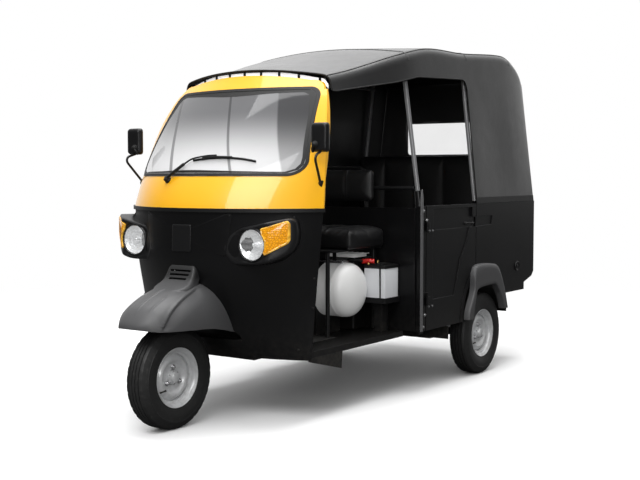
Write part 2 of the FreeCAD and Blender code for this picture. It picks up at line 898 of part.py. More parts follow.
def guard_fairing():
    """Sloped face that carries the vents and runs up the shield from the beak."""
    top, half = size("fairing_top"), size("fairing_half_width")
    low = size("vent_low")
    root = size("guard_root_station")
    profile = [(root + 40, low - 40), (root - 52, low - 40), (root - 34, low - 8), (root - 20, low + 24),
               (root - 13, top - 14), (root - 6, top), (root + 40, top)]
    front = [(-half - 6, low - 40), (-half + 6, top - 22), (-half + 22, top), (half - 22, top),
             (half - 6, top - 22), (half + 6, low - 40)]
    return prism(profile, "YZ", -half - 10, half + 10).common(prism(front, "XZ", 0, 200)).cut(vents())


def make_mudguard():
    """Hollow beak over the front wheel, with a sloping lower edge."""
    shell = guard_volume(0).cut(guard_volume(size("guard_gauge")))
    tip = size("guard_tip_station")
    rear = size("guard_end_station")
    below = prism([(tip - 50, 300), (tip - 50, size("guard_edge_front")), (-60, size("guard_edge_front") - 14),
                   (rear + 60, size("guard_edge_rear")), (rear + 60, 300)], "YZ", -300, 300)
    shell = shell.cut(below)
    shell = shell.fuse(guard_fairing().cut(guard_volume(size("guard_gauge"))))
    shell = shell.cut(shield_volume(-0.3, 700))
    shape_node("front_mudguard", max(shell.Solids, key=lambda solid: solid.Volume))


def lamp_place(side, height=None):
    """Centre of one headlamp's face."""
    return Vector(side * size("lamp_offset"), size("lamp_station"), height or size("lamp_height"))


def lamp_outline(side):
    """Front outline of one lamp pod: low on the inboard side, rising to its outboard corner."""
    centre = lamp_place(side)
    offsets = [(-155, -25), (-117, 51), (-70, 76), (33, 95), (163, 124), (180, 112), (186, 60), (182, 10),
               (166, -34), (112, -74), (33, -95), (-105, -98)]
    return [(centre.x + side * u, centre.z + v) for u, v in offsets]


def make_lamps():
    """Moulded pods on the shield, round lenses and the amber lamps wrapped outboard of them."""
    shield = shield_volume(-0.3, 700)
    radius = size("lens_radius")
    face = size("lamp_station")
    reach, rear = size("indicator_reach"), size("indicator_station")
    housings, lenses, ambers = [], [], []
    for side in (1, -1):
        centre = lamp_place(side)
        outline = prism(lamp_outline(side), "XZ", 0, 420)
        thin = shield_volume(-size("plate_stand"), 700)

        def plan(points, low, high):
            return prism([(centre.x + side * u, v) for u, v in points], "XY", low, high)

        bulk = plan([(-92, face + 40), (-72, face + 6), (radius + 4, face + 6), (reach, rear + 6),
                     (reach + 20, rear + 24), (reach + 28, 420), (-92, 420)], 700, 1060)
        pod = outline.common(thin.fuse(bulk)).cut(shield)
        bowl = Part.makeCylinder(radius + 1, 60, Vector(centre.x, face - 30, centre.z), Vector(0, 1, 0))
        gauge = size("indicator_gauge")
        strip = plan([(radius - 12, face), (radius + 4, face), (reach, rear), (reach + 4, rear + gauge),
                      (radius - 8, face + gauge + 8)], 700, 1060)
        window = prism([(centre.x + side * u, centre.z + v) for u, v in
                        [(radius - 14, -42), (reach, 14), (reach, 95), (radius - 14, 78)]], "XZ", 0, 420)
        amber = strip.common(window).cut(bowl.makeOffsetShape(2, 0.01, join=2))
        seat = amber.makeOffsetShape(0.3, 0.01, join=2)
        housing = pod.cut([bowl, seat])
        lens = Part.makeSphere(radius * 2.4, centre + Vector(0, radius * 2.4 - size("lens_stand"), 0))
        drum = Part.makeCylinder(radius, 38, centre + Vector(0, -14, 0), Vector(0, 1, 0))
        lens = lens.common(drum).cut(shield)
        housings.append(max(housing.Solids, key=lambda s: s.Volume))
        lenses.append(lens)
        ambers.append(max(amber.Solids, key=lambda s: s.Volume))
    shape_node("lamp_housings", Part.makeCompound(housings))
    shape_node("headlamp_lenses", Part.makeCompound(lenses))
    shape_node("indicator_lenses", Part.makeCompound(ambers))


def screen_levels():
    names = (("belt_height", "belt_half_width", "belt_edge_station", "belt_nose_station"),
             ("scuttle_height", "scuttle_half_width", "scuttle_edge_station", "scuttle_nose_station"),
             ("header_height", "header_half_width", "header_edge_station", "header_nose_station"),
             ("roof_edge_height", "roof_edge_half_width", "roof_edge_station", "roof_edge_nose_station"))
    return [tuple(size(name) for name in row) for row in names]


def screen_volume(inset, back):
    return bowed_loft(screen_levels(), inset, back)


def screen_opening(grow):
    """Prism through the front whose outline is the windscreen's, with round corners."""
    low, high = size("screen_low") - grow, size("screen_high") + grow
    a, b = size("screen_low_half_width") + grow, size("screen_high_half_width") + grow
    corners = [(a, low), (b, high), (-b, high), (-a, low)]
    block = prism(corners, "XZ", -100, 720)
    upright = [edge for edge in block.Edges if abs(edge.tangentAt(edge.FirstParameter).y) > 0.99]
    return block.makeFillet(size("screen_corner") + grow, upright)


def header_arch():
    """Everything above the header's edge: a flat arch that turns down at both ends."""
    crown, bend, foot = size("header_crown"), size("header_bend"), size("header_foot")
    inner, outer = size("header_half_width") - 88, size("header_half_width") - 10
    rise = Part.Arc(Vector(-inner, -100, bend), Vector(0, -100, crown), Vector(inner, -100, bend)).toShape()
    out, sky = 900, crown + 600
    turn = Part.Arc(Vector(inner, -100, bend), Vector((inner + outer) / 2 + 14, -100, bend - 14),
                    Vector(outer, -100, foot)).toShape()
    back = Part.Arc(Vector(-outer, -100, foot), Vector(-(inner + outer) / 2 - 14, -100, bend - 14),
                    Vector(-inner, -100, bend)).toShape()
    path = [Vector(outer, -100, foot), Vector(out, -100, foot - 20), Vector(out, -100, sky),
            Vector(-out, -100, sky), Vector(-out, -100, foot - 20), Vector(-outer, -100, foot)]
    wire = Part.Wire([rise, turn] + Part.makePolygon(path).Edges + [back])
    return Part.Face(wire).extrude(Vector(0, 1500, 0))


def make_surround():
    """Painted scuttle, screen pillars and header: one bowed panel with a box frame round the glass."""
    edge = size("roof_edge_station")
    shell = screen_volume(0, edge + 40).cut(screen_volume(size("panel"), edge + 90))
    frame = screen_volume(size("panel") - 1, edge + 40).cut(screen_volume(size("pillar_gauge"), edge + 90))
    frame = frame.common(screen_opening(30))
    shell = shell.fuse(frame)
    back = 8
    side_cut = [(size("belt_edge_station") + back, size("belt_height") - 10),
                (size("belt_edge_station") + back, size("belt_height")),
                (size("scuttle_edge_station") + back, size("scuttle_height")),
                (size("header_edge_station") + back, size("header_height")),
                (edge + back, size("roof_edge_height")), (edge + back + 20, size("roof_edge_height") + 40),
                (edge + 300, size("roof_edge_height") + 40), (edge + 300, size("belt_height") - 10)]
    shell = shell.cut(prism(side_cut, "YZ", -900, 900))
    shell = shell.cut(screen_opening(0)).cut(header_arch())
    shell.translate(Vector(0, 0, size("seat_clearance")))
    shape_node("windscreen_surround", max(shell.removeSplitter().Solids, key=lambda solid: solid.Volume))


def make_screen():
    """Curved glass and the rubber seal round it."""
    gauge = size("glass_gauge")
    seal = size("seal_width")
    outer = screen_volume(-3, 740).cut(screen_volume(9, 790))
    ring = outer.common(screen_opening(-0.3)).cut(screen_opening(-seal))
    ring.translate(Vector(0, 0, size("seat_clearance")))
    shape_node("windscreen_seal", ring)
    glass = screen_volume(0, 740).cut(screen_volume(gauge, 790)).common(screen_opening(-seal - 0.3))
    glass.translate(Vector(0, 0, size("seat_clearance")))
    shape_node("windscreen_glass", glass)


def bowed_prism(low, high, grow, back):
    """Upright solid with the belt's plan, grown all round, between two heights."""
    half, edge = size("belt_half_width") + grow, size("belt_edge_station")
    wire = bowed_section(low, half, edge, size("belt_nose_station") - grow, back)
    return Part.Face(wire).extrude(Vector(0, 0, high - low))


def make_belt_moulding():
    """Black strip over the joint between shield and scuttle."""
    height = size("moulding_height")
    low = size("belt_height") - height * 0.7
    edge = size("belt_edge_station")
    outer = bowed_prism(low, low + height, size("moulding_gauge"), edge + 1)
    inner = bowed_prism(low - 5, low + height + 5, size("seat_clearance"), edge + 60)
    shape_node("belt_moulding", outer.cut(inner))


def make_dashboard():
    """Shelf inside the scuttle that carries the instruments, open below."""
    top, low = size("dash_height"), size("belt_height") + 8
    edge = size("belt_edge_station")
    gauge = size("dash_gauge")
    inset = size("panel") + size("seat_clearance")

    def slab(start, end):
        return Part.makeBox(1400, edge + 200, end - start, Vector(-700, -200, start))

    block = screen_volume(inset, 700).common(slab(low, top))
    hollow = screen_volume(inset + gauge, 760).common(slab(low - 1, top - gauge))
    wall = Part.makeBox(2 * size("scuttle_half_width") - 80, gauge, size("dash_depth") - gauge,
                        Vector(-size("scuttle_half_width") + 40, edge - gauge, top - size("dash_depth")))
    wall = wall.common(screen_volume(inset, 700))
    start = Vector(*on_axis(low - 100))
    slot = Part.makeCylinder(size("column_radius") + 18, 500, start, Vector(*on_axis(low + 100)) - start)
    shelf = block.cut(hollow).fuse(wall).cut(slot)
    shelf.translate(Vector(0, 0, size("seat_clearance")))
    shape_node("dashboard", max(shelf.Solids, key=lambda solid: solid.Volume))


def screen_front(x, height):
    """Station of the screen's outer face at a place across and up it."""
    line = Part.makeLine(Vector(x, -300, height), Vector(x, 720, height))
    return line.common(screen_volume(0, 740)).BoundBox.YMin


def off_screen(x, height, away):
    return Vector(x, screen_front(x, height) - away, height)


def make_wiper():
    """Wiper arm from its spindle on the scuttle, with the blade along the foot of the glass."""
    foot = size("screen_low")
    pivot = off_screen(-250, foot - 36, 16)
    blade_low, blade_high = off_screen(-60, foot + 49, 17), off_screen(225, foot + 64, 17)
    elbow, tip = off_screen(-105, foot + 12, 22), off_screen(40, foot + 60, 24)
    arm = tube([tuple(pivot), tuple(elbow), tuple(tip)], 4, 300)
    link = Part.makeCylinder(3, 10, tip, Vector(0, 1, -0.1))
    blade = tube([tuple(blade_low), tuple(off_screen(80, foot + 58, 16)), tuple(blade_high)], 5, 400)
    spindle = Part.makeCylinder(11, 22, pivot + Vector(0, -6, 0), Vector(0, 1, 0))
    wiper = arm.fuse([blade, spindle, link]).cut(screen_volume(-0.3, 700))
    shape_node("wiper", max(wiper.Solids, key=lambda solid: solid.Volume))


def make_mirrors():
    """Black bent arms on the screen pillars and the moulded heads they carry."""
    base = (size("mirror_base_offset"), size("mirror_base_station"), size("mirror_base_height"))
    head = (size("mirror_offset"), size("mirror_station"), size("mirror_height"))
    low = head[2] - size("mirror_half_height") + 4
    elbow = (head[0] + 14, head[1] - 66, low - 24)
    arm = tube([base, elbow, (head[0], head[1] + 6, low)], size("arm_radius"), 40)
    foot = Part.makeCylinder(15, 20, Vector(base[0] - 10, base[1] + 2, base[2]), Vector(1, -0.1, 0))
    shell = Part.makeBox(size("mirror_half_width") * 2, size("mirror_depth"), size("mirror_half_height") * 2,
                         Vector(head[0] - size("mirror_half_width"), head[1] - size("mirror_depth") / 2,
                                head[2] - size("mirror_half_height")))
    shell = shell.makeFillet(14, shell.Edges)
    arm = arm.fuse(foot).cut(shell)
    arm = max(arm.Solids, key=lambda s: s.Volume)
    panel = screen_volume(-0.3, 700)
    arm = max(arm.cut(panel).Solids, key=lambda s: s.Volume)
    shape_node("mirror_arms", both_sides(arm))
    shape_node("mirror_heads", both_sides(shell))


# Cab

def make_partition():
    """Bulkhead behind the driver, between the two pillars."""
    body = make_body("partition")
    half = "pillar_half_width - 22 - seat_clearance"
    low = "floor_height + seat_clearance"
    sketch = outline_sketch(body, "XZ_Plane", [
        (f"-({half})", low), (half, low),
        (half, "partition_height"), (f"-({half})", "partition_height"),
    ], "partition_outline")
    pad(body, sketch, "partition_gauge", reverse=True)
    place(body, "0", "partition_station + seat_clearance", "0")
    node(body, "partition")


def make_driver_seat():
    body = make_body("driver_seat")
    sketch = outline_sketch(body, "XY_Plane", [
        ("-seat_half_width", "0"), ("seat_half_width", "0"),
        ("seat_half_width", "seat_depth"), ("-seat_half_width", "seat_depth"),
    ], "driver_seat_outline")
    solid = pad(body, sketch, "seat_gauge")
    round_edges(body, solid, "seat_gauge / 4", lambda edge: True)
    place(body, "0", "partition_station - seat_depth - 20", "seat_height - seat_gauge")
    node(body, "driver_seat")


def make_backrest():
    """Driver's back pad on its tube frame above the bulkhead."""
    low, high = size("backrest_low"), size("backrest_high")
    half = size("backrest_half_width")
    rear = size("partition_station")
    back = rear + 6 - size("rail_tube_radius") - size("seat_clearance")
    block = Part.makeBox(2 * half, 50, high - low, Vector(-half, back - 50, low))
    shape_node("driver_backrest", block.makeFillet(18, block.Edges))
    radius = size("rail_tube_radius")
    top = size("partition_height")
    y = rear + 6
    top += size("seat_clearance")
    hoop_half = half - 60
    hoop = tube([(hoop_half, y, top), (hoop_half, y, high + 10), (-hoop_half, y, high + 10), (-hoop_half, y, top)],
                radius, 60)
    foot, lean = bow_foot(), bow_lean()
    rise = size("back_rail_height")
    reach = foot.x + lean.x / lean.z * (rise - foot.z) - size("bow_radius") - 0.9
    rail = tube([(-reach, y + 24, rise), (reach, y + 24, rise)], radius)
    ties = [Part.makeCylinder(8, 30, Vector(side * hoop_half, y - 2, rise), Vector(0, 1, 0))
            for side in (1, -1)]
    shape_node("backrest_frame", hoop.fuse([rail] + ties).removeSplitter())


def make_cylinder():
    """Gas cylinder lying across the cab, turned with domed ends."""
    body = make_body("gas_cylinder")
    sketch = outline_sketch(body, "XY_Plane", [
        ("-cylinder_half_length", "0"), ("cylinder_half_length", "0"),
        ("cylinder_half_length - 4", "cylinder_radius * 0.45"),
        ("cylinder_half_length - cylinder_dome * 0.35", "cylinder_radius * 0.8"),
        ("cylinder_half_length - cylinder_dome", "cylinder_radius"),
        ("-cylinder_half_length + cylinder_dome", "cylinder_radius"),
        ("-cylinder_half_length + cylinder_dome * 0.35", "cylinder_radius * 0.8"),
        ("-cylinder_half_length + 4", "cylinder_radius * 0.45"),
    ], "gas_cylinder_profile")
    revolve(body, sketch)
    place(body, "0", "cylinder_station", "cylinder_height")
    node(body, "gas_cylinder")


def make_cradle():
    """Steel stands and straps that hold the cylinder, and the seat frame over it."""
    y, z = size("cylinder_station"), size("cylinder_height")
    radius = size("cylinder_radius") + 0.3
    floor = size("floor_height") + 0.3
    parts = []
    for x in (-240, 190):
        ring = Part.makeCylinder(radius + 5, 36, Vector(x, y, z), Vector(1, 0, 0))
        stand = Part.makeBox(36, 220, z - floor - 60, Vector(x, y - 110, floor))
        ring = ring.fuse(stand).cut(Part.makeCylinder(radius, 60, Vector(x - 12, y, z), Vector(1, 0, 0)))
        parts.append(ring)
    shape_node("cylinder_straps", Part.makeCompound(parts))
    half = size("seat_half_width") - 30
    low = size("seat_height") - size("seat_gauge") - 0.3
    front = y - radius - 32
    rear = size("partition_station") - 8
    deck = Part.makeBox(2 * half, rear - front, 8, Vector(-half, front, low - 8))
    legs = []
    for x in (-half + 40, half - 40):
        for leg_y in (front + 14, rear - 14):
            legs.append(Part.makeCylinder(11, low - floor - 4, Vector(x, leg_y, floor), Vector(0, 0, 1)))
    shape_node("seat_frame", deck.fuse(legs))


def make_battery():
    body = make_body("battery")
    sketch = outline_sketch(body, "XY_Plane", [
        ("-battery_width / 2", "-battery_length / 2"), ("battery_width / 2", "-battery_length / 2"),
        ("battery_width / 2", "battery_length / 2"), ("-battery_width / 2", "battery_length / 2"),
    ], "battery_outline")
    pad(body, sketch, "battery_height")
    place(body, "battery_offset", "battery_station - 20", "battery_base")
    node(body, "battery")
    x, y = size("battery_offset"), size("battery_station") - 20
    base = size("battery_base")
    w, l = size("battery_width") + 14, size("battery_length") + 14
    tray = Part.makeBox(w, l, 4, Vector(x - w / 2, y - l / 2, base - 4.3))
    rim = Part.makeBox(w, l, 30, Vector(x - w / 2, y - l / 2, base - 4.3))
    rim = rim.cut(Part.makeBox(w - 6, l - 6, 60, Vector(x - w / 2 + 3, y - l / 2 + 3, base - 10)))
    floor = size("floor_height") + 0.3
    post = Part.makeBox(50, 60, base - 4.3 - floor, Vector(x - 25, y - 30, floor))
    shape_node("battery_tray", tray.fuse([rim, post]).removeSplitter())


def make_tank():
    """Small reserve petrol tank between the cylinder and the bulkhead, with its filler."""
    width, depth = size("tank_width"), size("tank_depth")
    height = size("tank_height")
    x = size("tank_offset")
    y = size("cylinder_station") + size("cylinder_radius") + 8
    floor = size("floor_height") + size("seat_clearance")
    block = Part.makeBox(width, depth, height, Vector(x, y, floor))
    block = block.makeFillet(14, block.Edges)
    neck = Part.makeCylinder(size("cap_radius"), size("cap_height") + 4,
                             Vector(x + width - 40, y + depth / 2, floor + height - 4), Vector(0, 0, 1))
    shape_node("petrol_tank", block.fuse(neck))


# Rear body

def arch_circle(radius, x0, x1):
    return Part.makeCylinder(radius, x1 - x0, Vector(x0, size("wheelbase"), size("arch_height")),
                             Vector(1, 0, 0))


def make_sides():
    """Fixed rear quarters with the wheel arch: skin, arch surround ahead of it and inner liner."""
    half = size("body_half_width")
    wall = size("wall")
    start = size("door_rear") + size("door_gap")
    low = size("tail_low")
    radius = size("arch_radius") + 1
    end, skirt, skirt_end = size("body_end"), size("skirt_low"), size("skirt_end")
    outline = [(start, size("body_low")), (2300, size("body_low") + 60), (2360, skirt), (skirt_end, skirt),
               (skirt_end, low - 18), (end - 30, low + 14), (end, low + 44), (end, size("body_top")),
               (start, size("body_top"))]
    quarter = prism(outline, "YZ", half - wall, half)
    band = prism([(start - 10, size("band_low")), (start + 200, size("band_low") + 6), (start + 215, size("band_high")),
                  (start - 10, size("band_high"))], "YZ", half - size("recess_depth"), half + 5)
    quarter = quarter.cut(band)
    surround = arch_circle(radius + size("arch_surround"), half - wall, half)
    surround = surround.common(Part.makeBox(wall, 600, 600, Vector(half - wall, size("wheelbase") - 600,
                                                                   size("body_low"))))
    quarter = quarter.fuse(surround).cut(arch_circle(radius, half - 200, half + 200))
    liner = arch_circle(radius + size("sheet"), size("liner_offset"), half)
    liner = liner.cut(arch_circle(radius, 400, half + 50))
    liner = liner.cut(Part.makeBox(900, 900, 700, Vector(0, size("wheelbase") - 450, size("body_low") - 700)))
    quarter = quarter.fuse(liner)
    shape_node("body_sides", both_sides(quarter.removeSplitter()))


def door_outline():
    front, rear = size("door_front"), size("door_rear")
    low, top = size("body_low"), size("body_top")
    return [(front, low), (rear, low), (rear, top), (front, top)]


def hinge_spot(height):
    return Vector(size("body_half_width") + size("hinge_out"), size("door_front") - size("hinge_back"), height)


def hinge_part(height, length, y0, y1, bore):
    """Knuckle round the hinge axis with the leaf that screws to the skin beside it."""
    spot = hinge_spot(height)
    radius = size("hinge_radius")
    knuckle = Part.makeCylinder(radius, length, spot)
    half = size("body_half_width")
    leaf = Part.makeBox(3, abs(y1 - y0), length, Vector(half, min(y0, y1), height))
    part = knuckle.fuse(leaf)
    if bore:
        part = part.cut(Part.makeCylinder(bore, length + 20, spot - Vector(0, 0, 10)))
    return part


def make_doors():
    """Half doors of the rear compartment with a shallow pressed panel and their hinge knuckles."""
    half = size("body_half_width")
    gauge = size("door_gauge")
    clear = size("arch_radius") + 1 + size("arch_surround") + size("door_gap")
    block = prism(door_outline(), "YZ", half - gauge, half)
    block = block.cut(arch_circle(clear, half - 100, half + 100))
    depth = size("recess_depth")
    front, low = size("recess_front"), size("recess_low")
    band = size("band_low")
    recess = prism([(front, low), (1700, low), (1770, 700), (1850, 800), (1880, band), (front, band)],
                   "YZ", half - depth, half + 5)
    high = prism([(front, band), (size("door_rear") + 5, band), (size("door_rear") + 5, size("band_high")),
                  (1920, size("band_high")),
                  (1920, size("recess_high")), (front, size("recess_high"))], "YZ", half - 2 * depth, half + 5)
    block = block.cut(recess.fuse(high))
    pin = size("hinge_pin_radius") + size("running_clearance")
    front = size("door_front")
    for height in hinge_heights():
        knuckle = hinge_part(height, size("hinge_length"), front - size("hinge_back"), front + 40, pin)
        block = block.fuse(knuckle)
    block = max(block.removeSplitter().Solids, key=lambda solid: solid.Volume)
    for side, word in ((1, "left"), (-1, "right")):
        shape_node(f"door_{word}", block if side > 0 else mirrored(block))


def hinge_heights():
    return (size("hinge_low"), size("hinge_high"))


def bow_foot():
    """Lowest point of the front hood bow, in its socket."""
    return Vector(size("pillar_half_width") - 18, size("pillar_station") + 20, size("body_top") + 14)


def bow_shoulder():
    gauge, radius = size("hood_gauge"), size("bow_radius")
    return Vector(size("hood_side_half_width") - gauge - radius - 10, size("pillar_station") + 20,
                  size("hood_mid_edge") - gauge - radius - 14)


def bow_lean():
    return (bow_shoulder() - bow_foot()).normalize()


def make_pillars():
    """Pillars beside the doors: post, pressed outer strip, tube socket and the door's hinge pins."""
    half = size("pillar_half_width")
    y0 = size("pillar_station")
    y1 = size("door_front") - size("door_gap")
    low = size("floor_height") - 2
    top = size("body_top")
    post = Part.makeBox(24, y1 - y0 + 4, top - low, Vector(half - 22, y0 - 4, low))
    strip = Part.makeBox(8, 18, top - low - 30, Vector(half + 2, y0, low + 30))
    foot, lean = bow_foot(), bow_lean()
    socket = Part.makeCone(24, 17, 90, foot - lean * 22, lean)
    bore = Part.makeCylinder(size("bow_radius") + 0.3, 140, foot, lean)
    parts = [strip, socket]
    for height in hinge_heights():
        upper = height + size("hinge_length") + size("seat_clearance")
        parts.append(hinge_part(upper, 26, size("door_front") - 40, size("door_front") - 8, 0))
        parts.append(Part.makeCylinder(size("hinge_pin_radius"), size("hinge_length") + 4, hinge_spot(height)))
        brace = hinge_spot(upper)
        corner = Vector(size("body_half_width"), brace.y - 10, upper)
        parts.append(Part.makeBox(size("hinge_out") + 2, 10, 26, corner))
    pillar = post.fuse(parts).cut(bore)
    shape_node("pillar_posts", both_sides(pillar))


def make_passenger_floor():
    """Floor of the rear compartment, narrower between the doors, and the box under the bench."""
    gauge = size("sheet")
    wide = size("body_half_width") - size("wall") - size("seat_clearance")
    narrow = wide - 6
    front = size("partition_station") + size("partition_gauge") + 1
    split = size("door_rear") + size("door_gap")
    box_front = size("seat_box_station")
    end = size("bench_end") + 120
    low, high = size("passenger_floor"), size("seat_box_height")
    profile = [(split, low - gauge), (box_front, low - gauge), (box_front, high - gauge), (end, high - gauge),
               (end, high), (box_front - gauge, high), (box_front - gauge, low), (split, low)]
    pan = prism(profile, "YZ", -wide, wide)
    pan = pan.fuse(Part.makeBox(2 * narrow, split - front, gauge, Vector(-narrow, front, low - gauge)))
    radius = size("arch_radius") + 1 + gauge + size("seat_clearance")
    wheel = arch_circle(radius, size("liner_offset") - 0.5, 700)
    pan = pan.cut([wheel, mirrored(wheel)])
    shape_node("passenger_floor", max(pan.removeSplitter().Solids, key=lambda solid: solid.Volume))


def make_bench():
    """Rear bench cushion and its backrest."""
    half = size("bench_half_width")
    base = size("seat_box_height") + 0.3
    top = base + size("cushion_gauge")
    front, end = size("seat_box_station"), size("bench_end")
    narrow = size("cushion_half_width")
    cushion = Part.makeBox(2 * narrow, end - front - 90, top - base, Vector(-narrow, front, base))
    shape_node("rear_seat_cushion", cushion.makeFillet(22, cushion.Edges))
    back = Part.makeBox(2 * half, 80, size("bench_back_high") - base, Vector(-half, end - 88.6, base))
    back = back.makeFillet(24, back.Edges)
    shape_node("rear_seat_backrest", back)


def make_rear_panel():
    """Panel that closes the tail between the two quarters."""
    body = make_body("rear_panel")
    half = "body_half_width - wall - seat_clearance"
    sketch = outline_sketch(body, "XZ_Plane", [
        (f"-({half})", "tail_low + 30"), (half, "tail_low + 30"), (half, "body_top"), (f"-({half})", "body_top"),
    ], "rear_panel_outline")
    pad(body, sketch, "wall", reverse=True)
    place(body, "0", "body_end - wall", "0")
    node(body, "rear_panel")
    centre = Vector(size("body_half_width - tail_lamp_inset"), size("body_end + seat_clearance"),
                    size("tail_lamp_height"))
    lamp = Part.makeCylinder(size("lamp_radius"), size("tail_lamp_depth"), centre, Vector(0, 1, 0))
    shape_node("tail_lamps", both_sides(lamp))


def make_fenders():
    """Moulded flares over the rear wheels."""
    half = size("body_half_width")
    gauge = size("fender_gauge")
    radius = size("arch_radius")
    flare = size("fender_flare")
    outer = arch_circle(radius, half - 14, half + flare)
    inner = arch_circle(radius - gauge, half - 100, half + flare + 50)
    lip_outer = arch_circle(radius, half + flare - gauge, half + flare)
    lip_inner = arch_circle(radius - 26, half - 100, half + flare + 50)
    ring = outer.cut(inner).fuse(lip_outer.cut(lip_inner))
    depth = 700
    corner = Vector(half - 200, size("wheelbase") - 450, size("arch_height") - depth - 10)
    below = Part.makeBox(400, 900, depth, corner)
    shape_node("rear_fenders", both_sides(ring.cut(below).removeSplitter()))


# Hood

def hood_section(y, bottom_half, side_half, edge, crown, corner, inset, low):
    """Closed section of the hood at a station, inset by its thickness."""
    def at(x, z):
        return Vector(x, y, z)

    lean = (side_half - bottom_half) / (edge - low)
    a, b = bottom_half - inset, side_half - inset
    z_edge, z_crown = edge - inset, crown - inset
    start = z_edge - corner
    x_start = b - lean * corner
    turn_x = b - corner
    mid = at(b - corner * 0.29 - lean * corner * 0.4, z_edge - corner * 0.29)
    slope = (z_crown - z_edge) * 0.16
    shoulder = at(turn_x, z_edge + slope)
    edges = [
        Part.LineSegment(at(a, low), at(x_start, start)).toShape(),
        Part.Arc(at(x_start, start), mid, shoulder).toShape(),
        Part.Arc(shoulder, at(0, z_crown), at(-shoulder.x, shoulder.z)).toShape(),
        Part.Arc(at(-shoulder.x, shoulder.z), at(-mid.x, mid.z), at(-x_start, start)).toShape(),
        Part.LineSegment(at(-x_start, start), at(-a, low)).toShape(),
        Part.LineSegment(at(-a, low), at(a, low)).toShape(),
    ]
    return Part.Wire(edges)


def hood_volume(inset, front, back):
    """Solid inside the hood's surface, drawn in by an inset."""
    low = size("body_top") + size("seat_clearance")
    bottom = size("body_half_width")
    side = size("hood_side_half_width")
    corner = size("hood_corner")
    half = size("hood_front_half_width")
    first = (size("hood_front_edge"), size("hood_front_crown"))
    slope = (size("hood_slope_station"), size("hood_slope_edge"))
    mid = (size("hood_mid_station"), size("hood_mid_edge"), size("hood_mid_crown"))
    ridge = (size("hood_ridge_station"), size("hood_ridge_edge"))
    rear = (size("hood_rear_station"), size("hood_rear_edge"), size("hood_rear_crown"))
    tail, end = size("hood_tail_edge"), size("body_end")
    span = end - rear[0]
    drop = rear[1] - tail
    sections = [
        (front, bottom - 8, half, first[0], first[1], corner * 0.7),
        (slope[0], bottom - 6, half + 14, slope[1], slope[1] + 60, corner * 0.8),
        (mid[0], bottom - 2, side, mid[1], mid[2], corner),
        (ridge[0], bottom, side + 2, ridge[1], ridge[1] + 24, corner),
        (size("quarter_station"), bottom, side + 4, ridge[1] + 10, ridge[1] + 32, corner),
        (rear[0], bottom, side + 4, rear[1], rear[2], corner),
    ]
    closing = [
        (rear[0], bottom, side + 4, rear[1], rear[2], corner),
        (rear[0] + span * 0.45, bottom, side + 4, rear[1] - drop * 0.17, rear[2] - drop * 0.17, corner),
        (rear[0] + span * 0.8, bottom, side + 2, rear[1] - drop * 0.52, rear[2] - drop * 0.52, corner),
        (end + back, bottom, side, tail, tail + 15, corner * 0.8),
    ]
    lofts = []
    for rows in (sections, closing):
        wires = [hood_section(y, bh, sh, e, c, k, inset, low - inset) for y, bh, sh, e, c, k in rows]
        lofts.append(Part.makeLoft(wires, True, False))
    return lofts[0].fuse(lofts[1])


def make_hood():
    """Fabric hood as one shell with a bowed front hem, side openings and a rear window."""
    gauge = size("hood_gauge")
    front, nose = size("hood_front_station"), size("hood_front_nose")
    start = nose - 40
    shell = hood_volume(0, start, 0).cut(hood_volume(gauge, start - 20, -gauge))
    half = size("hood_front_half_width") + 20
    low, high = size("body_top") - 60, size("hood_rear_crown") + 100
    bow = Part.Arc(Vector(half, front, low), Vector(0, nose, low), Vector(-half, front, low)).toShape()
    ends = [Vector(-half, front, low), Vector(-900, front + 30, low), Vector(-900, -100, low), Vector(900, -100, low),
            Vector(900, front + 30, low), Vector(half, front, low)]
    ahead = Part.Face(Part.Wire([bow] + Part.makePolygon(ends).Edges)).extrude(Vector(0, 0, high - low))
    shell = shell.cut(ahead)
    quarter = size("quarter_station")
    pillar = size("pillar_station")
    top = size("valance_rear")
    opening = prism([(front - 200, low), (quarter, low), (quarter, top), (pillar + 100, size("valance_mid")),
                     (pillar - 110, size("valance_mid") - 42), (front + 30, size("valance_front")),
                     (front - 200, size("valance_front") - 20)], "YZ", -900, 900)
    rear_top = [edge for edge in opening.Edges if abs(edge.tangentAt(edge.FirstParameter).x) > 0.9
                and edge.BoundBox.YMin > quarter - 1 and edge.BoundBox.ZMin > top - 1]
    shell = shell.cut(opening.makeFillet(size("opening_corner"), rear_top))
    half = size("window_half_width")
    window = Part.makeBox(2 * half, 200, size("window_high") - size("window_low"),
                          Vector(-half, size("body_end") - 100, size("window_low")))
    upright = [edge for edge in window.Edges if abs(edge.tangentAt(0).y) > 0.9]
    window = window.makeFillet(30, upright)
    pane = shell.common(window)
    shell = shell.cut(window)
    shape_node("hood_canopy", max(shell.Solids, key=lambda solid: solid.Volume))
    pane = pane.common(Part.makeBox(2 * half - 1, 400, size("window_high") - size("window_low") - 1,
                                    Vector(-half + 0.5, size("body_end") - 200, size("window_low") + 0.5)))
    shape_node("rear_window", pane)


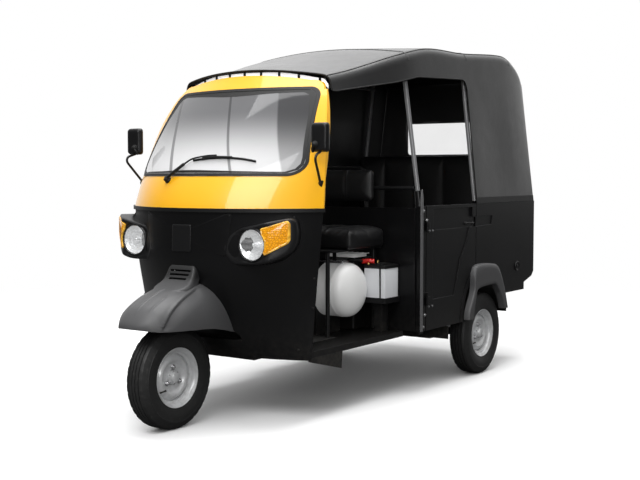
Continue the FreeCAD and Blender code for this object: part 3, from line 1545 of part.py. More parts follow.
def make_hood_frame():
    """Bent tube bows under the hood: front pair at the pillars, one at the quarters, one at the tail."""
    radius = size("bow_radius")
    low = bow_foot().z + size("seat_clearance")
    gauge = size("hood_gauge")
    side = size("hood_side_half_width")
    bows = []
    foot_x = bow_foot().x
    ridge = size("hood_ridge_edge")
    rear = size("bench_end") + 26
    rows = (
        (size("pillar_station") + 20, foot_x, side, size("hood_mid_edge"), size("hood_mid_crown")),
        (size("quarter_station") + 20, foot_x - 6, side + 4, ridge + 10, ridge + 32),
        (rear, foot_x - 6, side + 4, size("hood_rear_edge") - 30, size("hood_rear_crown") - 30),
    )
    for y, foot, half, edge, crown in rows:
        top = half - gauge - radius - 10
        z = edge - gauge - radius - 14
        rise = crown - gauge - radius - 12
        points = [(foot, y, low), (top, y, z), (0, y, rise), (-top, y, z), (-foot, y, low)]
        bows.append(tube(points, radius, 70))
    rail_x = side - gauge - radius - 14
    rail_z = size("valance_rear") + 20
    rail = tube([(rail_x + 4, size("pillar_station") + 20, rail_z), (rail_x + 8, rear, rail_z + 6)],
                radius - 3)
    front_rail = tube([(rail_x + 4, size("pillar_station") + 20, rail_z),
                       (size("hood_front_half_width") - 40, size("hood_front_station") + 30,
                        size("hood_front_edge") - 26)], radius - 3)
    frame = bows[0].fuse(bows[1:] + [rail, mirrored(rail), front_rail, mirrored(front_rail)])
    shape_node("hood_frame", frame.removeSplitter())


# Drive line

def make_engine():
    body = make_body("engine_block")
    sketch = outline_sketch(body, "XY_Plane", [
        ("-engine_half_width", "-engine_length / 2"), ("engine_half_width", "-engine_length / 2"),
        ("engine_half_width", "engine_length / 2"), ("-engine_half_width", "engine_length / 2"),
    ], "engine_outline")
    pad(body, sketch, "engine_height")
    place(body, "0", "engine_station", "engine_base")
    node(body, "engine_block")


def make_swing_arms():
    """Trailing arms with their hub carriers, stub axles and half shafts."""
    y0 = size("arm_pivot_station")
    y1 = size("wheelbase")
    z = size("tyre_radius")
    radius = size("arm_tube_radius")
    inner = size("rear_half_track") + size("disc_offset - drum_depth")
    carrier_x = inner - 6
    arm = tube([(size("arm_offset"), y0, z + 40), (size("arm_offset"), y0 + 120, z + 30),
                (carrier_x - 22, y1, z)], radius, 60)
    bush = size("arm_bush_length")
    pivot = Part.makeCylinder(size("arm_bush_radius"), bush, Vector(size("arm_offset") - bush / 2, y0, z + 40),
                              Vector(1, 0, 0))
    plate = Part.makeCylinder(60, 20, Vector(carrier_x - 24, y1, z), Vector(1, 0, 0))
    stub = Part.makeCylinder(size("axle_radius"), size("rear_half_track + disc_offset + 24") - carrier_x + 10,
                             Vector(carrier_x - 10, y1, z), Vector(1, 0, 0))
    shaft_start = Vector(size("engine_half_width") + 4, size("wheelbase") + 40, z - 6)
    shaft_end = Vector(carrier_x - 10, y1, z)
    heading = shaft_end - shaft_start
    shaft = Part.makeCylinder(size("shaft_radius"), heading.Length, shaft_start, heading)
    damper_x = size("rear_half_track") - size("tyre_half_width") - size("damper_radius") - 20
    lug_x = damper_x + 10 + size("seat_clearance")
    lug = Part.makeCylinder(12, carrier_x - 20 - lug_x, Vector(lug_x, y1 - 14, z + 26), Vector(1, 0, 0))
    arm = arm.fuse([pivot, plate, stub, shaft, lug]).removeSplitter()
    shape_node("swing_arms", both_sides(arm))


def make_rear_dampers():
    """Spring and damper units between the arms and the seat box."""
    x = size("rear_half_track") - size("tyre_half_width") - size("damper_radius") - 20
    low = Vector(x, size("wheelbase") - 14, size("tyre_radius") + 26)
    high = Vector(x - 15, size("wheelbase") + 6, size("seat_box_height") - size("sheet") - size("seat_clearance"))
    heading = (high - low).normalize()
    length = (high - low).Length - 10
    body = Part.makeCylinder(size("damper_radius") + 8, length - 90, low + heading * 40, heading)
    rod = Part.makeCylinder(9, length, low, heading)
    pad = Part.makeCylinder(24, 20, high - Vector(0, 0, 20))
    eye = Part.makeCylinder(12, 20, low - Vector(10, 0, 0), Vector(1, 0, 0))
    shape_node("rear_dampers", both_sides(body.fuse([rod, pad, eye]).removeSplitter()))


def build():
    make_wheels()
    make_column()
    make_front_link()
    make_front_damper()
    make_handlebar()
    make_chassis()
    make_housing()
    make_floor()
    make_apron()
    make_shield()
    make_mudguard()
    make_lamps()
    make_surround()
    make_screen()
    make_belt_moulding()
    make_dashboard()
    make_wiper()
    make_mirrors()
    make_partition()
    make_driver_seat()
    make_backrest()
    make_cylinder()
    make_cradle()
    make_battery()
    make_tank()
    make_sides()
    make_doors()
    make_pillars()
    make_passenger_floor()
    make_bench()
    make_rear_panel()
    make_fenders()
    make_hood()
    make_hood_frame()
    make_engine()
    make_swing_arms()
    make_rear_dampers()
    doc.recompute()


def check():
    """Every object built, and every sub-part a sound solid."""
    for obj in doc.Objects:
        if "Invalid" in obj.State or "Error" in obj.State:
            raise RuntimeError(f"{obj.Label}: {obj.State}")
    for obj in NODES:
        if obj.Shape.isNull() or not obj.Shape.isValid() or not obj.Shape.Solids:
            raise RuntimeError(f"{obj.Label}: unsound shape")


def export():
    os.makedirs("parts", exist_ok=True)
    for obj in NODES:
        obj.Shape.exportStep(f"parts/{obj.Label}.step")


build()
check()
export()
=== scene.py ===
import logging
import math
from dataclasses import dataclass
from enum import Enum
from functools import lru_cache
from typing import Dict, Iterable, List, Optional, Sequence, Tuple, Union

import bmesh
import bpy
from mathutils import Matrix, Vector
from mathutils.bvhtree import BVHTree


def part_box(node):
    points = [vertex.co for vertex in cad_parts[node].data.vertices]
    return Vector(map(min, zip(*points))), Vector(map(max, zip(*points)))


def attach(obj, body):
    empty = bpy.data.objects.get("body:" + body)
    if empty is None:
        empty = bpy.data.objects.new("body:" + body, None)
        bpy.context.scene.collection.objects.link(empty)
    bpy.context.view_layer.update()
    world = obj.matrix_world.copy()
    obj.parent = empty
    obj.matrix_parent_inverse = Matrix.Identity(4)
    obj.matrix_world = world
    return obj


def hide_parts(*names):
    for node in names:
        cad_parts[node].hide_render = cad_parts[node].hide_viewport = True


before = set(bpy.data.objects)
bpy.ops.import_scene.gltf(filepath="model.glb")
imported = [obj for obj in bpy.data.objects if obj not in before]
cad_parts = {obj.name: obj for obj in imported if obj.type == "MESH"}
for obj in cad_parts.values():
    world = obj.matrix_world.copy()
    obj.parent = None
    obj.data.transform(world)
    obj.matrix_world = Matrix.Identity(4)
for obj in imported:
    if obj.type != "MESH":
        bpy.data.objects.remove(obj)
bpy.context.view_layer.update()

# Auto rickshaw in metres: +X to the vehicle's left, +Y to its rear, +Z up. Sizes are in mm where no docstring says
# metres, and a station is a distance behind the front axle. AHEAD is the station from which rays look back.

LOG = logging.getLogger("rickshaw")
ORIGIN_STATION = 1.269
AHEAD = -1500
LEFT, BACK, UP = Vector((1, 0, 0)), Vector((0, 1, 0)), Vector((0, 0, 1))
Colour = Point = Tuple[float, float, float]
Flat = Tuple[float, float]
Row = List[Vector]
Inputs = Dict[Union[int, str], object]


def at(x: float, station: float, z: float) -> Vector:
    """Point given in mm: across, behind the front axle, and above the ground."""
    return Vector((x / 1000, station / 1000 - ORIGIN_STATION, z / 1000))


def by(x: float, y: float, z: float) -> Vector:
    """Offset given in mm: to the left, to the rear and up."""
    return Vector((x / 1000, y / 1000, z / 1000))


def path_from(start: Vector, *offsets: Point) -> Row:
    """Places at offsets in mm from a point."""
    return [start + by(*offset) for offset in offsets]


def mirrored(points: Iterable[Vector]) -> Row:
    """Points on the other side of the centre plane."""
    return [Vector((-p.x, p.y, p.z)) for p in points]


def across(heading: Vector) -> Tuple[Vector, Vector]:
    """Two unit directions across a heading."""
    first = heading.cross(UP if abs(heading.z) < 0.9 else BACK).normalized()
    return first, heading.cross(first)


def circle(centre: Vector, first: Vector, second: Vector, radius: float, sides: int) -> Row:
    """Points of a circle that two unit directions span."""
    turns = (math.tau * k / sides for k in range(sides))
    return [centre + (first * math.cos(t) + second * math.sin(t)) * (radius / 1000) for t in turns]


def ease(value: float, low: float, high: float) -> float:
    """Smooth step of a value between two limits, from 0 to 1."""
    t = min(max((value - low) / (high - low), 0.0), 1.0)
    return t * t * (3 - 2 * t)


def curve_through(table: Sequence[Flat], x: float) -> float:
    """Smooth curve through a table of pairs, flat beyond its ends.

    Args:
        table: Pairs in rising order.
        x: Place at which the curve is read.

    Returns:
        Its value.
    """
    if x <= table[0][0]:
        return table[0][1]
    for i in range(len(table) - 1):
        x0, y0 = table[i]
        x1, y1 = table[i + 1]
        if x <= x1:
            before = table[max(i - 1, 0)]
            after = table[min(i + 2, len(table) - 1)]
            m0 = (y1 - before[1]) / (x1 - before[0]) * (x1 - x0)
            m1 = (after[1] - y0) / (after[0] - x0) * (x1 - x0)
            t = (x - x0) / (x1 - x0)
            return (y0 * (2 * t**3 - 3 * t**2 + 1) + m0 * (t**3 - 2 * t**2 + t)
                    + y1 * (3 * t**2 - 2 * t**3) + m1 * (t**3 - t**2))
    return table[-1][1]


class Body(str, Enum):
    """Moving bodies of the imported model."""

    ROOT = "body"
    STEERING = "steering"
    FRONT_WHEEL = "front_wheel"
    REAR_LEFT = "rear_wheel_left"
    REAR_RIGHT = "rear_wheel_right"
    DOOR_LEFT = "left_door"
    DOOR_RIGHT = "right_door"


class Axis(Enum):
    """Axis that a cushion's face looks along, as the number of its coordinate."""

    Y = 1
    Z = 2


# Shader maths

class Value:
    """Output socket of a shader node, with arithmetic that adds Math nodes."""

    def __init__(self, graph: "Graph", socket: bpy.types.NodeSocket) -> None:
        """Keep the graph and its socket."""
        self.graph = graph
        self.socket = socket

    def _math(self, operation: str, first: "Number", second: "Number", clamp: bool = False) -> "Value":
        """Add one Math node."""
        return self.graph.add("ShaderNodeMath", {"operation": operation, "use_clamp": clamp}, {0: first, 1: second})

    def __add__(self, other: "Number") -> "Value":
        """Sum."""
        return self._math("ADD", self, other)

    def __radd__(self, other: "Number") -> "Value":
        """Sum with a number before the value."""
        return self._math("ADD", other, self)

    def __sub__(self, other: "Number") -> "Value":
        """Difference."""
        return self._math("SUBTRACT", self, other)

    def __rsub__(self, other: "Number") -> "Value":
        """Difference with a number before the value."""
        return self._math("SUBTRACT", other, self)

    def __mul__(self, other: "Number") -> "Value":
        """Product."""
        return self._math("MULTIPLY", self, other)

    def __rmul__(self, other: "Number") -> "Value":
        """Product with a number before the value."""
        return self._math("MULTIPLY", other, self)

    def sine(self) -> "Value":
        """Sine of the value in radians."""
        return self._math("SINE", self, 0.0)

    def clamped(self) -> "Value":
        """Value held between 0 and 1."""
        return self._math("ADD", self, 0.0, clamp=True)

    def between(self, low: float, high: float) -> "Value":
        """Share of the way from low to high, smoothed and held between 0 and 1; high may be lower than low."""
        return self.graph.add("ShaderNodeMapRange", {"interpolation_type": "SMOOTHSTEP"},
                              {"Value": self, "From Min": low, "From Max": high})


Number = Union[float, Value]


class Graph:
    """Node tree of one material or of the surroundings."""

    def __init__(self, owner: Union[bpy.types.Material, bpy.types.World], output: str = "ShaderNodeOutputMaterial"
                 ) -> None:
        """Empty the owner's tree and give it an output.

        Args:
            owner: Material or world that the tree belongs to.
            output: Type of its output node.
        """
        self.owner = owner
        owner.use_nodes = True
        self.tree = owner.node_tree
        self.tree.nodes.clear()
        self.output = self.tree.nodes.new(output)
        self.places: Optional[bpy.types.Node] = None

    def node(self, kind: str, settings: Dict[str, object], inputs: Inputs) -> bpy.types.Node:
        """Add any node.

        Args:
            kind: Type of the node.
            settings: Properties, set before the inputs.
            inputs: Value or link of each socket, by name or number.

        Returns:
            The new node.
        """
        made = self.tree.nodes.new(kind)
        for name, value in settings.items():
            setattr(made, name, value)
        for name, value in inputs.items():
            socket = made.inputs[name]
            if isinstance(value, Value):
                self.tree.links.new(value.socket, socket)
            else:
                socket.default_value = (*value, 1.0) if socket.type == "RGBA" else value
        return made

    def add(self, kind: str, settings: Dict[str, object], inputs: Inputs, output: Union[int, str] = 0) -> Value:
        """Add any node and give one of its outputs."""
        return Value(self, self.node(kind, settings, inputs).outputs[output])

    def place(self, kind: str = "Object") -> Value:
        """Point on the surface in the piece's own frame, in metres; "Generated" is a direction in surroundings."""
        self.places = self.places or self.node("ShaderNodeTexCoord", {}, {})
        return Value(self, self.places.outputs[kind])

    def along(self, heading: Point, kind: str = "Object") -> Value:
        """How far the place lies along a direction."""
        return self.add("ShaderNodeVectorMath", {"operation": "DOT_PRODUCT"}, {0: self.place(kind), 1: heading},
                        "Value")

    def coordinate(self, axis: str) -> Value:
        """One coordinate of the place, by the letter X, Y or Z."""
        return self.add("ShaderNodeSeparateXYZ", {}, {0: self.place()}, axis)

    def noise(self, scale: float, detail: float = 3.0, roughness: float = 0.55) -> Value:
        """Noise over the surface, from 0 to 1."""
        return self.add("ShaderNodeTexNoise", {}, {"Vector": self.place(), "Scale": scale, "Detail": detail,
                                                   "Roughness": roughness})

    def cells(self, scale: float) -> Value:
        """Distance from the edges of small rounded cells."""
        return self.add("ShaderNodeTexVoronoi", {"feature": "DISTANCE_TO_EDGE"},
                        {"Vector": self.place(), "Scale": scale})

    def mix(self, share: Number, first: Union[Colour, Value], second: Union[Colour, Value]) -> Value:
        """Mix of two colours by a share."""
        return self.add("ShaderNodeMix", {"data_type": "RGBA"}, {0: share, 6: first, 7: second}, 2)

    def rounded(self, radius: float) -> Value:
        """Normal with edges rounded by a radius in metres."""
        return self.add("ShaderNodeBevel", {"samples": 4}, {"Radius": radius})

    def bump(self, height: Value, strength: float, distance: float, **below: Value) -> Value:
        """Normal raised by a height from 0 to 1; the distance of 1 is in metres, and Normal may name the one below."""
        return self.add("ShaderNodeBump", {}, {"Height": height, "Strength": strength, "Distance": distance, **below})

    def blend(self, share: Number, first: bpy.types.Node, second: bpy.types.Node) -> bpy.types.Node:
        """Mix of two shaders by a share."""
        return self.node("ShaderNodeMixShader", {}, {0: share, 1: Value(self, first.outputs[0]),
                                                     2: Value(self, second.outputs[0])})

    def finish(self, shader: bpy.types.Node) -> Union[bpy.types.Material, bpy.types.World]:
        """Join a shader to the output and give the owner."""
        self.tree.links.new(shader.outputs[0], self.output.inputs[0])
        return self.owner

    def coat(self, inputs: Inputs) -> bpy.types.Material:
        """Join a principled shader to the output and give the material."""
        return self.finish(self.node("ShaderNodeBsdfPrincipled", {}, inputs))


def shade(colour: Colour, factor: float) -> Colour:
    """Colour made darker or lighter by a factor."""
    return tuple(min(channel * factor, 1.0) for channel in colour)


@dataclass(frozen=True)
class Coating:
    """Opaque finish: paint, moulded plastic, rubber or metal, with grain, unevenness and road dust, and a glow that is
    painted light where the part is no lamp.

    The depth of the grain, the radius of edges and the heights between which it darkens are in metres.
    """

    name: str
    colour: Colour
    roughness: float = 0.4
    uneven: float = 0.12
    grain: float = 900.0
    grain_depth: float = 0.00004
    metallic: float = 0.0
    coat: float = 0.0
    dust: float = 0.25
    edge: float = 0.003
    specular: float = 0.5
    glow: float = 0.0
    fade: Flat = (9.0, 9.1)

    def build(self) -> bpy.types.Material:
        """Make the material.

        Returns:
            The material.
        """
        g = Graph(bpy.data.materials.new(self.name))
        blotches = g.noise(4.0, 4.0)
        fine = g.noise(self.grain, 2.0)
        streaks = g.noise(38.0, 5.0, 0.65)
        colour = g.mix(blotches, shade(self.colour, 1 - self.uneven), shade(self.colour, 1 + self.uneven))
        height = g.coordinate("Z")
        colour = g.mix(height.between(*self.fade), colour, shade(self.colour, 0.22))
        dust = (height.between(0.55, 0.12) * streaks.between(0.3, 0.75) * self.dust).clamped()
        colour = g.mix(dust, colour, (0.20, 0.18, 0.15))
        rough = (self.roughness + (blotches - 0.5) * 0.12 + (streaks - 0.5) * 0.08 + dust * 0.4).clamped()
        normal = g.bump(fine, 0.6, self.grain_depth, Normal=g.rounded(self.edge))
        # Emission by glow is painted light on the parts that are no lamps.
        return g.coat({
            "Base Color": colour, "Roughness": rough, "Metallic": self.metallic, "Coat Weight": self.coat,
            "Coat Roughness": 0.06, "Specular IOR Level": self.specular, "Emission Color": colour,
            "Emission Strength": self.glow, "Normal": normal})


@dataclass(frozen=True)
class CoatedFabric:
    """Vinyl-coated cloth: fine leather grain, soft puckers of a height in metres, and a slight sheen."""

    name: str
    colour: Colour
    roughness: float = 0.42
    puckers: float = 0.0015
    grain: float = 520.0
    coat: float = 0.25
    gloss: float = 0.3

    def build(self) -> bpy.types.Material:
        """Make the material.

        Returns:
            The material.
        """
        g = Graph(bpy.data.materials.new(self.name))
        blotches = g.noise(2.4, 5.0)
        folds = g.noise(9.0, 4.0, 0.5)
        grain = g.cells(self.grain).between(0.0, 0.12)
        colour = g.mix(blotches, shade(self.colour, 0.82), shade(self.colour, 1.2))
        colour = g.mix((1 - grain) * 0.35, colour, shade(self.colour, 0.5))
        rough = (self.roughness + (folds - 0.5) * 0.16).clamped()
        normal = g.bump(grain, 0.5, 0.00008, Normal=g.bump(folds, 0.8, self.puckers))
        return g.coat({
            "Base Color": colour, "Roughness": rough, "Coat Weight": self.coat, "Coat Roughness": self.gloss,
            "Normal": normal})


@dataclass(frozen=True)
class TyreRubber:
    """Tyre rubber: dull tread, smoother sidewall and a little dust."""

    name: str = "tyre_rubber"
    colour: Colour = (0.012, 0.012, 0.012)

    def build(self) -> bpy.types.Material:
        """Make the material.

        Returns:
            The material.
        """
        g = Graph(bpy.data.materials.new(self.name))
        marks = g.noise(60.0, 5.0)
        fine = g.noise(1500.0, 2.0)
        colour = g.mix(marks, shade(self.colour, 0.7), shade(self.colour, 1.9))
        colour = g.mix(marks.between(0.55, 0.85) * 0.25, colour, (0.10, 0.095, 0.085))
        return g.coat({
            "Base Color": colour, "Roughness": (0.55 + (marks - 0.5) * 0.2).clamped(),
            "Normal": g.bump(fine, 0.5, 0.00006)})


@dataclass(frozen=True)
class Pane:
    """Glass or clear sheet: its colour runs from the bottom colour to the top one, and painted shade stands for the
    shaded cab and its posts seen through it.

    Heights and distances are in metres; a post is its lean, and where it starts and ends.
    """

    name: str
    colour: Colour
    # Colour at the top of the band; on the windscreen its darker top is painted shade under the hood.
    top_colour: Colour
    alpha: float
    low: float
    high: float
    # Painted shade: beyond a place along the lean (1, 0, 0.44), and along each post, the glass's colour goes towards a
    # shade colour that stands for the shaded cab seen through it.
    painted_shade_from: float = 9.0
    painted_shade: Colour = (0.03, 0.03, 0.032)
    posts: Tuple[Point, ...] = ()
    roughness: float = 0.03
    specular: float = 0.3

    def build(self) -> bpy.types.Material:
        """Make the material.

        Returns:
            The material.
        """
        g = Graph(bpy.data.materials.new(self.name))
        band = g.coordinate("Z").between(self.low, self.high)
        smears = g.noise(7.0, 4.0)
        # Painted shade: a mask of the shaded cab and its posts seen through the glass, stronger towards the top.
        beyond = g.along((1.0, 0.0, 0.44)).between(self.painted_shade_from, self.painted_shade_from + 0.012)
        behind = beyond * (0.45 + band * 0.35)
        for lean, start, end in self.posts:
            across = g.along((1.0, 0.0, lean))
            behind = behind + across.between(start, start + 0.004) * across.between(end, end - 0.004) * 0.62
        alpha = self.alpha + (smears - 0.5) * 0.04
        colour = g.mix(behind.clamped(), g.mix(band, self.colour, self.top_colour), self.painted_shade)
        return g.coat({
            "Base Color": colour, "Roughness": (self.roughness + smears * 0.03), "Alpha": alpha.clamped(),
            "Specular IOR Level": self.specular})


@dataclass(frozen=True)
class LampLens:
    """Coloured or clear lens with moulded flutes."""

    name: str
    colour: Colour
    alpha: float
    flutes: float = 260.0
    glow: float = 0.0
    facets: float = 70.0

    def build(self) -> bpy.types.Material:
        """Make the material.

        Returns:
            The material.
        """
        g = Graph(bpy.data.materials.new(self.name))
        ribs = (g.coordinate("Z") * self.flutes * 2.4).sine() * 0.5 + 0.5
        facets = g.cells(self.facets).between(0.0, 0.25)
        colour = g.mix(facets, shade(self.colour, 0.62), shade(self.colour, 1.1))
        return g.coat({
            "Base Color": colour, "Roughness": (0.08 + ribs * 0.05), "Coat Weight": 0.8, "Coat Roughness": 0.03,
            "Alpha": (self.alpha + ribs * 0.08).clamped(), "Emission Color": colour, "Emission Strength": self.glow,
            "Normal": g.bump(ribs, 0.3, 0.0006)})


class Finish(Enum):
    """Every finish of the vehicle."""

    YELLOW = Coating("yellow_paint", (0.94, 0.465, 0.009), 0.32, 0.04, coat=0.55, dust=0.1, specular=0.35)
    BLACK = Coating("black_paint", (0.0048, 0.0048, 0.0052), 0.32, 0.3, coat=0.08, dust=0.10, specular=0.22)
    FRAME = Coating("frame_paint", (0.006, 0.006, 0.0065), 0.45, 0.3, dust=0.25, specular=0.3)
    STRIP = Coating("pillar_paint", (0.11, 0.11, 0.113), 0.35, 0.15, coat=0.3)
    TUBE = Coating("bow_paint", (0.17, 0.17, 0.175), 0.30, 0.15, coat=0.4)
    GUARD = Coating("mudguard_plastic", (0.070, 0.070, 0.072), 0.48, 0.08, 700.0, 0.00007, dust=0.1, edge=0.004,
                    fade=(0.655, 0.712))
    MOULDED = Coating("moulded_plastic", (0.066, 0.066, 0.068), 0.48, 0.08, 700.0, 0.00007, dust=0.1, edge=0.004)
    POD = Coating("pod_plastic", (0.008, 0.008, 0.0085), 0.34, 0.12, 700.0, 0.00005, edge=0.007, specular=0.35)
    TRIM = Coating("black_trim", (0.007, 0.007, 0.007), 0.45, 0.2, edge=0.002, specular=0.35)
    RUBBER = Coating("seal_rubber", (0.006, 0.006, 0.006), 0.55, 0.2, 1200.0, edge=0.002, specular=0.35)
    MAT = Coating("floor_mat", (0.010, 0.010, 0.010), 0.7, 0.3, 300.0, 0.0003, specular=0.3)
    RIM = Coating("silver_paint", (0.76, 0.77, 0.78), 0.30, 0.06, metallic=0.2, coat=0.4, dust=0.3, edge=0.002)
    BRIGHT = Coating("bright_steel", (0.66, 0.66, 0.67), 0.24, 0.1, metallic=0.9, dust=0.0, edge=0.001)
    CAST = Coating("cast_alloy", (0.36, 0.36, 0.37), 0.5, 0.15, 400.0, 0.0002, metallic=0.8)
    # glow=0.08 is painted light: the white gas cylinder and tank lid glow so they look lit inside the shaded cab.
    WHITE = Coating("cylinder_white", (0.90, 0.90, 0.89), 0.30, 0.03, coat=0.5, dust=0.0, glow=0.08)
    PALE = Coating("pale_strip", (0.84, 0.84, 0.82), 0.5, 0.05, dust=0.0)
    # glow=0.55 is painted light: the header strip glows so it stays white under the hood's shade.
    GAP = Coating("header_strip", (0.92, 0.92, 0.91), 0.5, 0.03, dust=0.0, glow=0.55)
    # glow=0.05 is painted light on the battery case, so it looks lit inside the shaded cab.
    CASE = Coating("battery_case", (0.74, 0.75, 0.77), 0.4, 0.05, dust=0.05, glow=0.05)
    RED = Coating("red_cap", (0.70, 0.02, 0.015), 0.35, 0.1, dust=0.0)
    BRASS = Coating("brass_valve", (0.60, 0.42, 0.14), 0.3, 0.12, metallic=1.0, dust=0.0, edge=0.001)
    SEAT = CoatedFabric("seat_vinyl", (0.004, 0.004, 0.0045), 0.5, 0.0012, 420.0, 0.1)
    CANVAS = CoatedFabric("hood_vinyl", (0.0098, 0.0098, 0.0102), 0.42, 0.0022, 640.0, 0.62, 0.22)
    TYRE = TyreRubber()
    # The windscreen's colour paints the view through the nearly opaque glass: pale low down as painted light from the
    # bright studio seen through the cab, darker towards the top as painted shade under the hood, and the cab's shaded
    # far side and two posts painted in as shade.
    SCREEN = Pane("windscreen_glass", (0.66, 0.66, 0.665), (0.125, 0.125, 0.13), 0.93, 1.21, 1.50, 0.945,
                  posts=((0.57, 0.878, 0.896), (0.667, 0.630, 0.658)))
    WINDOW = Pane("clear_window", (0.95, 0.95, 0.95), (0.95, 0.95, 0.95), 0.10, 1.3, 1.6, roughness=0.08)
    MIRROR = Coating("mirror_glass", (0.85, 0.86, 0.87), 0.03, 0.02, metallic=1.0, dust=0.0, edge=0.0005)
    CLEAR = LampLens("clear_lens", (0.96, 0.97, 0.98), 0.12, 90.0)
    REFLECTOR = Coating("lamp_reflector", (0.93, 0.94, 0.95), 0.18, 0.05, metallic=0.5, dust=0.0, edge=0.0005,
                        glow=0.12)
    AMBER = LampLens("amber_lens", (1.0, 0.38, 0.008), 0.96, 260.0, 0.16, 95.0)
    AMBER_RIM = LampLens("amber_border", (1.0, 0.50, 0.05), 0.97, 60.0, 0.2, 20.0)
    TAIL = LampLens("red_lens", (0.62, 0.02, 0.015), 0.95, 200.0, 0.04)


@lru_cache(maxsize=None)
def material(finish: Finish) -> bpy.types.Material:
    """Material of a finish, made once."""
    return finish.value.build()


# Mesh forms

class Form:
    """Mesh under construction: corners and faces of one piece."""

    def __init__(self) -> None:
        """Start empty."""
        self.verts: Row = []
        self.faces: List[Tuple[int, ...]] = []

    def add(self, verts: Sequence[Vector], faces: Sequence[Sequence[int]]) -> "Form":
        """Add corners and the faces between them.

        Args:
            verts: New corners.
            faces: Numbers of the new corners round each face.

        Returns:
            The form itself.
        """
        start = len(self.verts)
        self.verts.extend(Vector(v) for v in verts)
        self.faces.extend(tuple(start + i for i in face) for face in faces)
        return self

    def join(self, other: "Form") -> "Form":
        """Add another form."""
        return self.add(other.verts, other.faces)

    def grid(self, rows: Sequence[Row], close_rows: bool = False, close_columns: bool = False,
             caps: Sequence[int] = ()) -> "Form":
        """Add a sheet through rows of points.

        Args:
            rows: Rows of equal length.
            close_rows: Join the last row to the first.
            close_columns: Join the ends of each row.
            caps: Rows that a face fills: 0 for the first, -1 for the last.

        Returns:
            The form itself.
        """
        count, width = len(rows), len(rows[0])
        faces = [tuple(range(cap % count * width, (cap % count + 1) * width)) for cap in caps]
        for i in range(count if close_rows else count - 1):
            here, there = i * width, (i + 1) % count * width
            for j in range(width if close_columns else width - 1):
                beside = (j + 1) % width
                faces.append((here + j, here + beside, there + beside, there + j))
        return self.add([v for row in rows for v in row], faces)

    def turned(self, profile: Sequence[Flat], centre: Vector, axis: Vector, sides: int = 48,
               closed: bool = False) -> "Form":
        """Add a form turned about an axis.

        Args:
            profile: Pairs of distance along the axis and radius.
            centre: Point from which the distances run.
            axis: Direction of the axis.
            sides: Number of steps round it.
            closed: Join the last pair to the first, as for a ring; else the ends are capped.

        Returns:
            The form itself.
        """
        unit = axis.normalized()
        rows = [circle(centre + unit * (along / 1000), *across(unit), max(radius, 0.01), sides)
                for along, radius in profile]
        return self.grid(rows, closed, True, () if closed else (0, -1))

    def tube(self, points: Sequence[Vector], radius: float, sides: int = 10, steps: int = 6,
             closed: bool = False) -> "Form":
        """Add a round tube on a smooth path.

        Args:
            points: Places that the path passes.
            radius: Radius of the tube.
            sides: Number of sides round it.
            steps: Steps of the path from one place to the next.
            closed: Join its end to its start; else the ends are capped.

        Returns:
            The form itself.
        """
        path = smooth_path(points, steps, closed)
        rows: List[Row] = []
        normal = None
        for i, spot in enumerate(path):
            ahead = path[(i + 1) % len(path)] if closed or i + 1 < len(path) else spot
            behind = path[i - 1] if closed or i > 0 else spot
            heading = (ahead - behind).normalized()
            normal = across(heading)[0] if normal is None else normal
            normal = (normal - heading * normal.dot(heading)).normalized()
            rows.append(circle(spot, normal, heading.cross(normal), radius, sides))
        return self.grid(rows, closed, True, () if closed else (0, -1))

    def box(self, low: Vector, high: Vector) -> "Form":
        """Add a box between two corners."""
        corners = [Vector((x, y, z)) for z in (low.z, high.z) for y in (low.y, high.y) for x in (low.x, high.x)]
        return self.add(corners, [(0, 2, 3, 1), (4, 5, 7, 6), (0, 1, 5, 4), (2, 6, 7, 3), (0, 4, 6, 2), (1, 3, 7, 5)])

    def slab(self, outline: Sequence[Vector], thickness: Vector) -> "Form":
        """Add an outline moved through a thickness."""
        return self.grid([outline, [p + thickness for p in outline]], close_columns=True, caps=(0, -1))

    def bolt(self, spot: Vector, heading: Vector, radius: float = 6.0) -> "Form":
        """Add a hexagon bolt head on its washer."""
        self.turned([(-2, radius * 1.5), (1.2, radius * 1.5)], spot, heading, 16)
        return self.turned([(1, radius), (radius * 0.9, radius), (radius * 1.05, radius * 0.8)], spot, heading, 6)

    def both(self) -> "Form":
        """Add the form's mirror image across the centre plane."""
        return self.add(mirrored(self.verts), [tuple(reversed(face)) for face in self.faces])

    def piece(self, name: str, finish: Finish, slot: str, body: Body = Body.ROOT, replaces: Tuple[str, ...] = (),
              bevel: float = 0.0, thickness: float = 0.0, sharp: float = 35.0) -> bpy.types.Object:
        """Make an object from the form.

        Args:
            name: Name of the piece.
            finish: Its finish.
            slot: Name of its material slot; not used.
            body: Body that it rides on.
            replaces: CAD nodes that it stands in for.
            bevel: Width of its rounded edges.
            thickness: Thickness of a sheet.
            sharp: Angle in degrees from which an edge is sharp.

        Returns:
            The object.
        """
        mesh = bpy.data.meshes.new(name)
        mesh.from_pydata([tuple(v) for v in self.verts], [], self.faces)
        work = bmesh.new()
        work.from_mesh(mesh)
        bmesh.ops.remove_doubles(work, verts=work.verts, dist=1e-6)
        bmesh.ops.recalc_face_normals(work, faces=work.faces)
        work.to_mesh(mesh)
        work.free()
        mesh.shade_smooth()
        made = bpy.data.objects.new(name, mesh)
        bpy.context.collection.objects.link(made)
        if thickness:
            solid = made.modifiers.new("thickness", "SOLIDIFY")
            solid.thickness, solid.offset = thickness / 1000, 0.0
        if bevel:
            edge = made.modifiers.new("edges", "BEVEL")
            edge.width, edge.segments, edge.angle_limit = bevel / 1000, 3, math.radians(sharp)
        apply_modifiers(made)
        made.data.set_sharp_from_angle(angle=math.radians(sharp))
        made.data.materials.clear()
        made.data.materials.append(material(finish))
        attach(made, body.value)
        if replaces:
            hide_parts(*replaces)
        LOG.info("%s: %d faces", name, len(made.data.polygons))
        return made


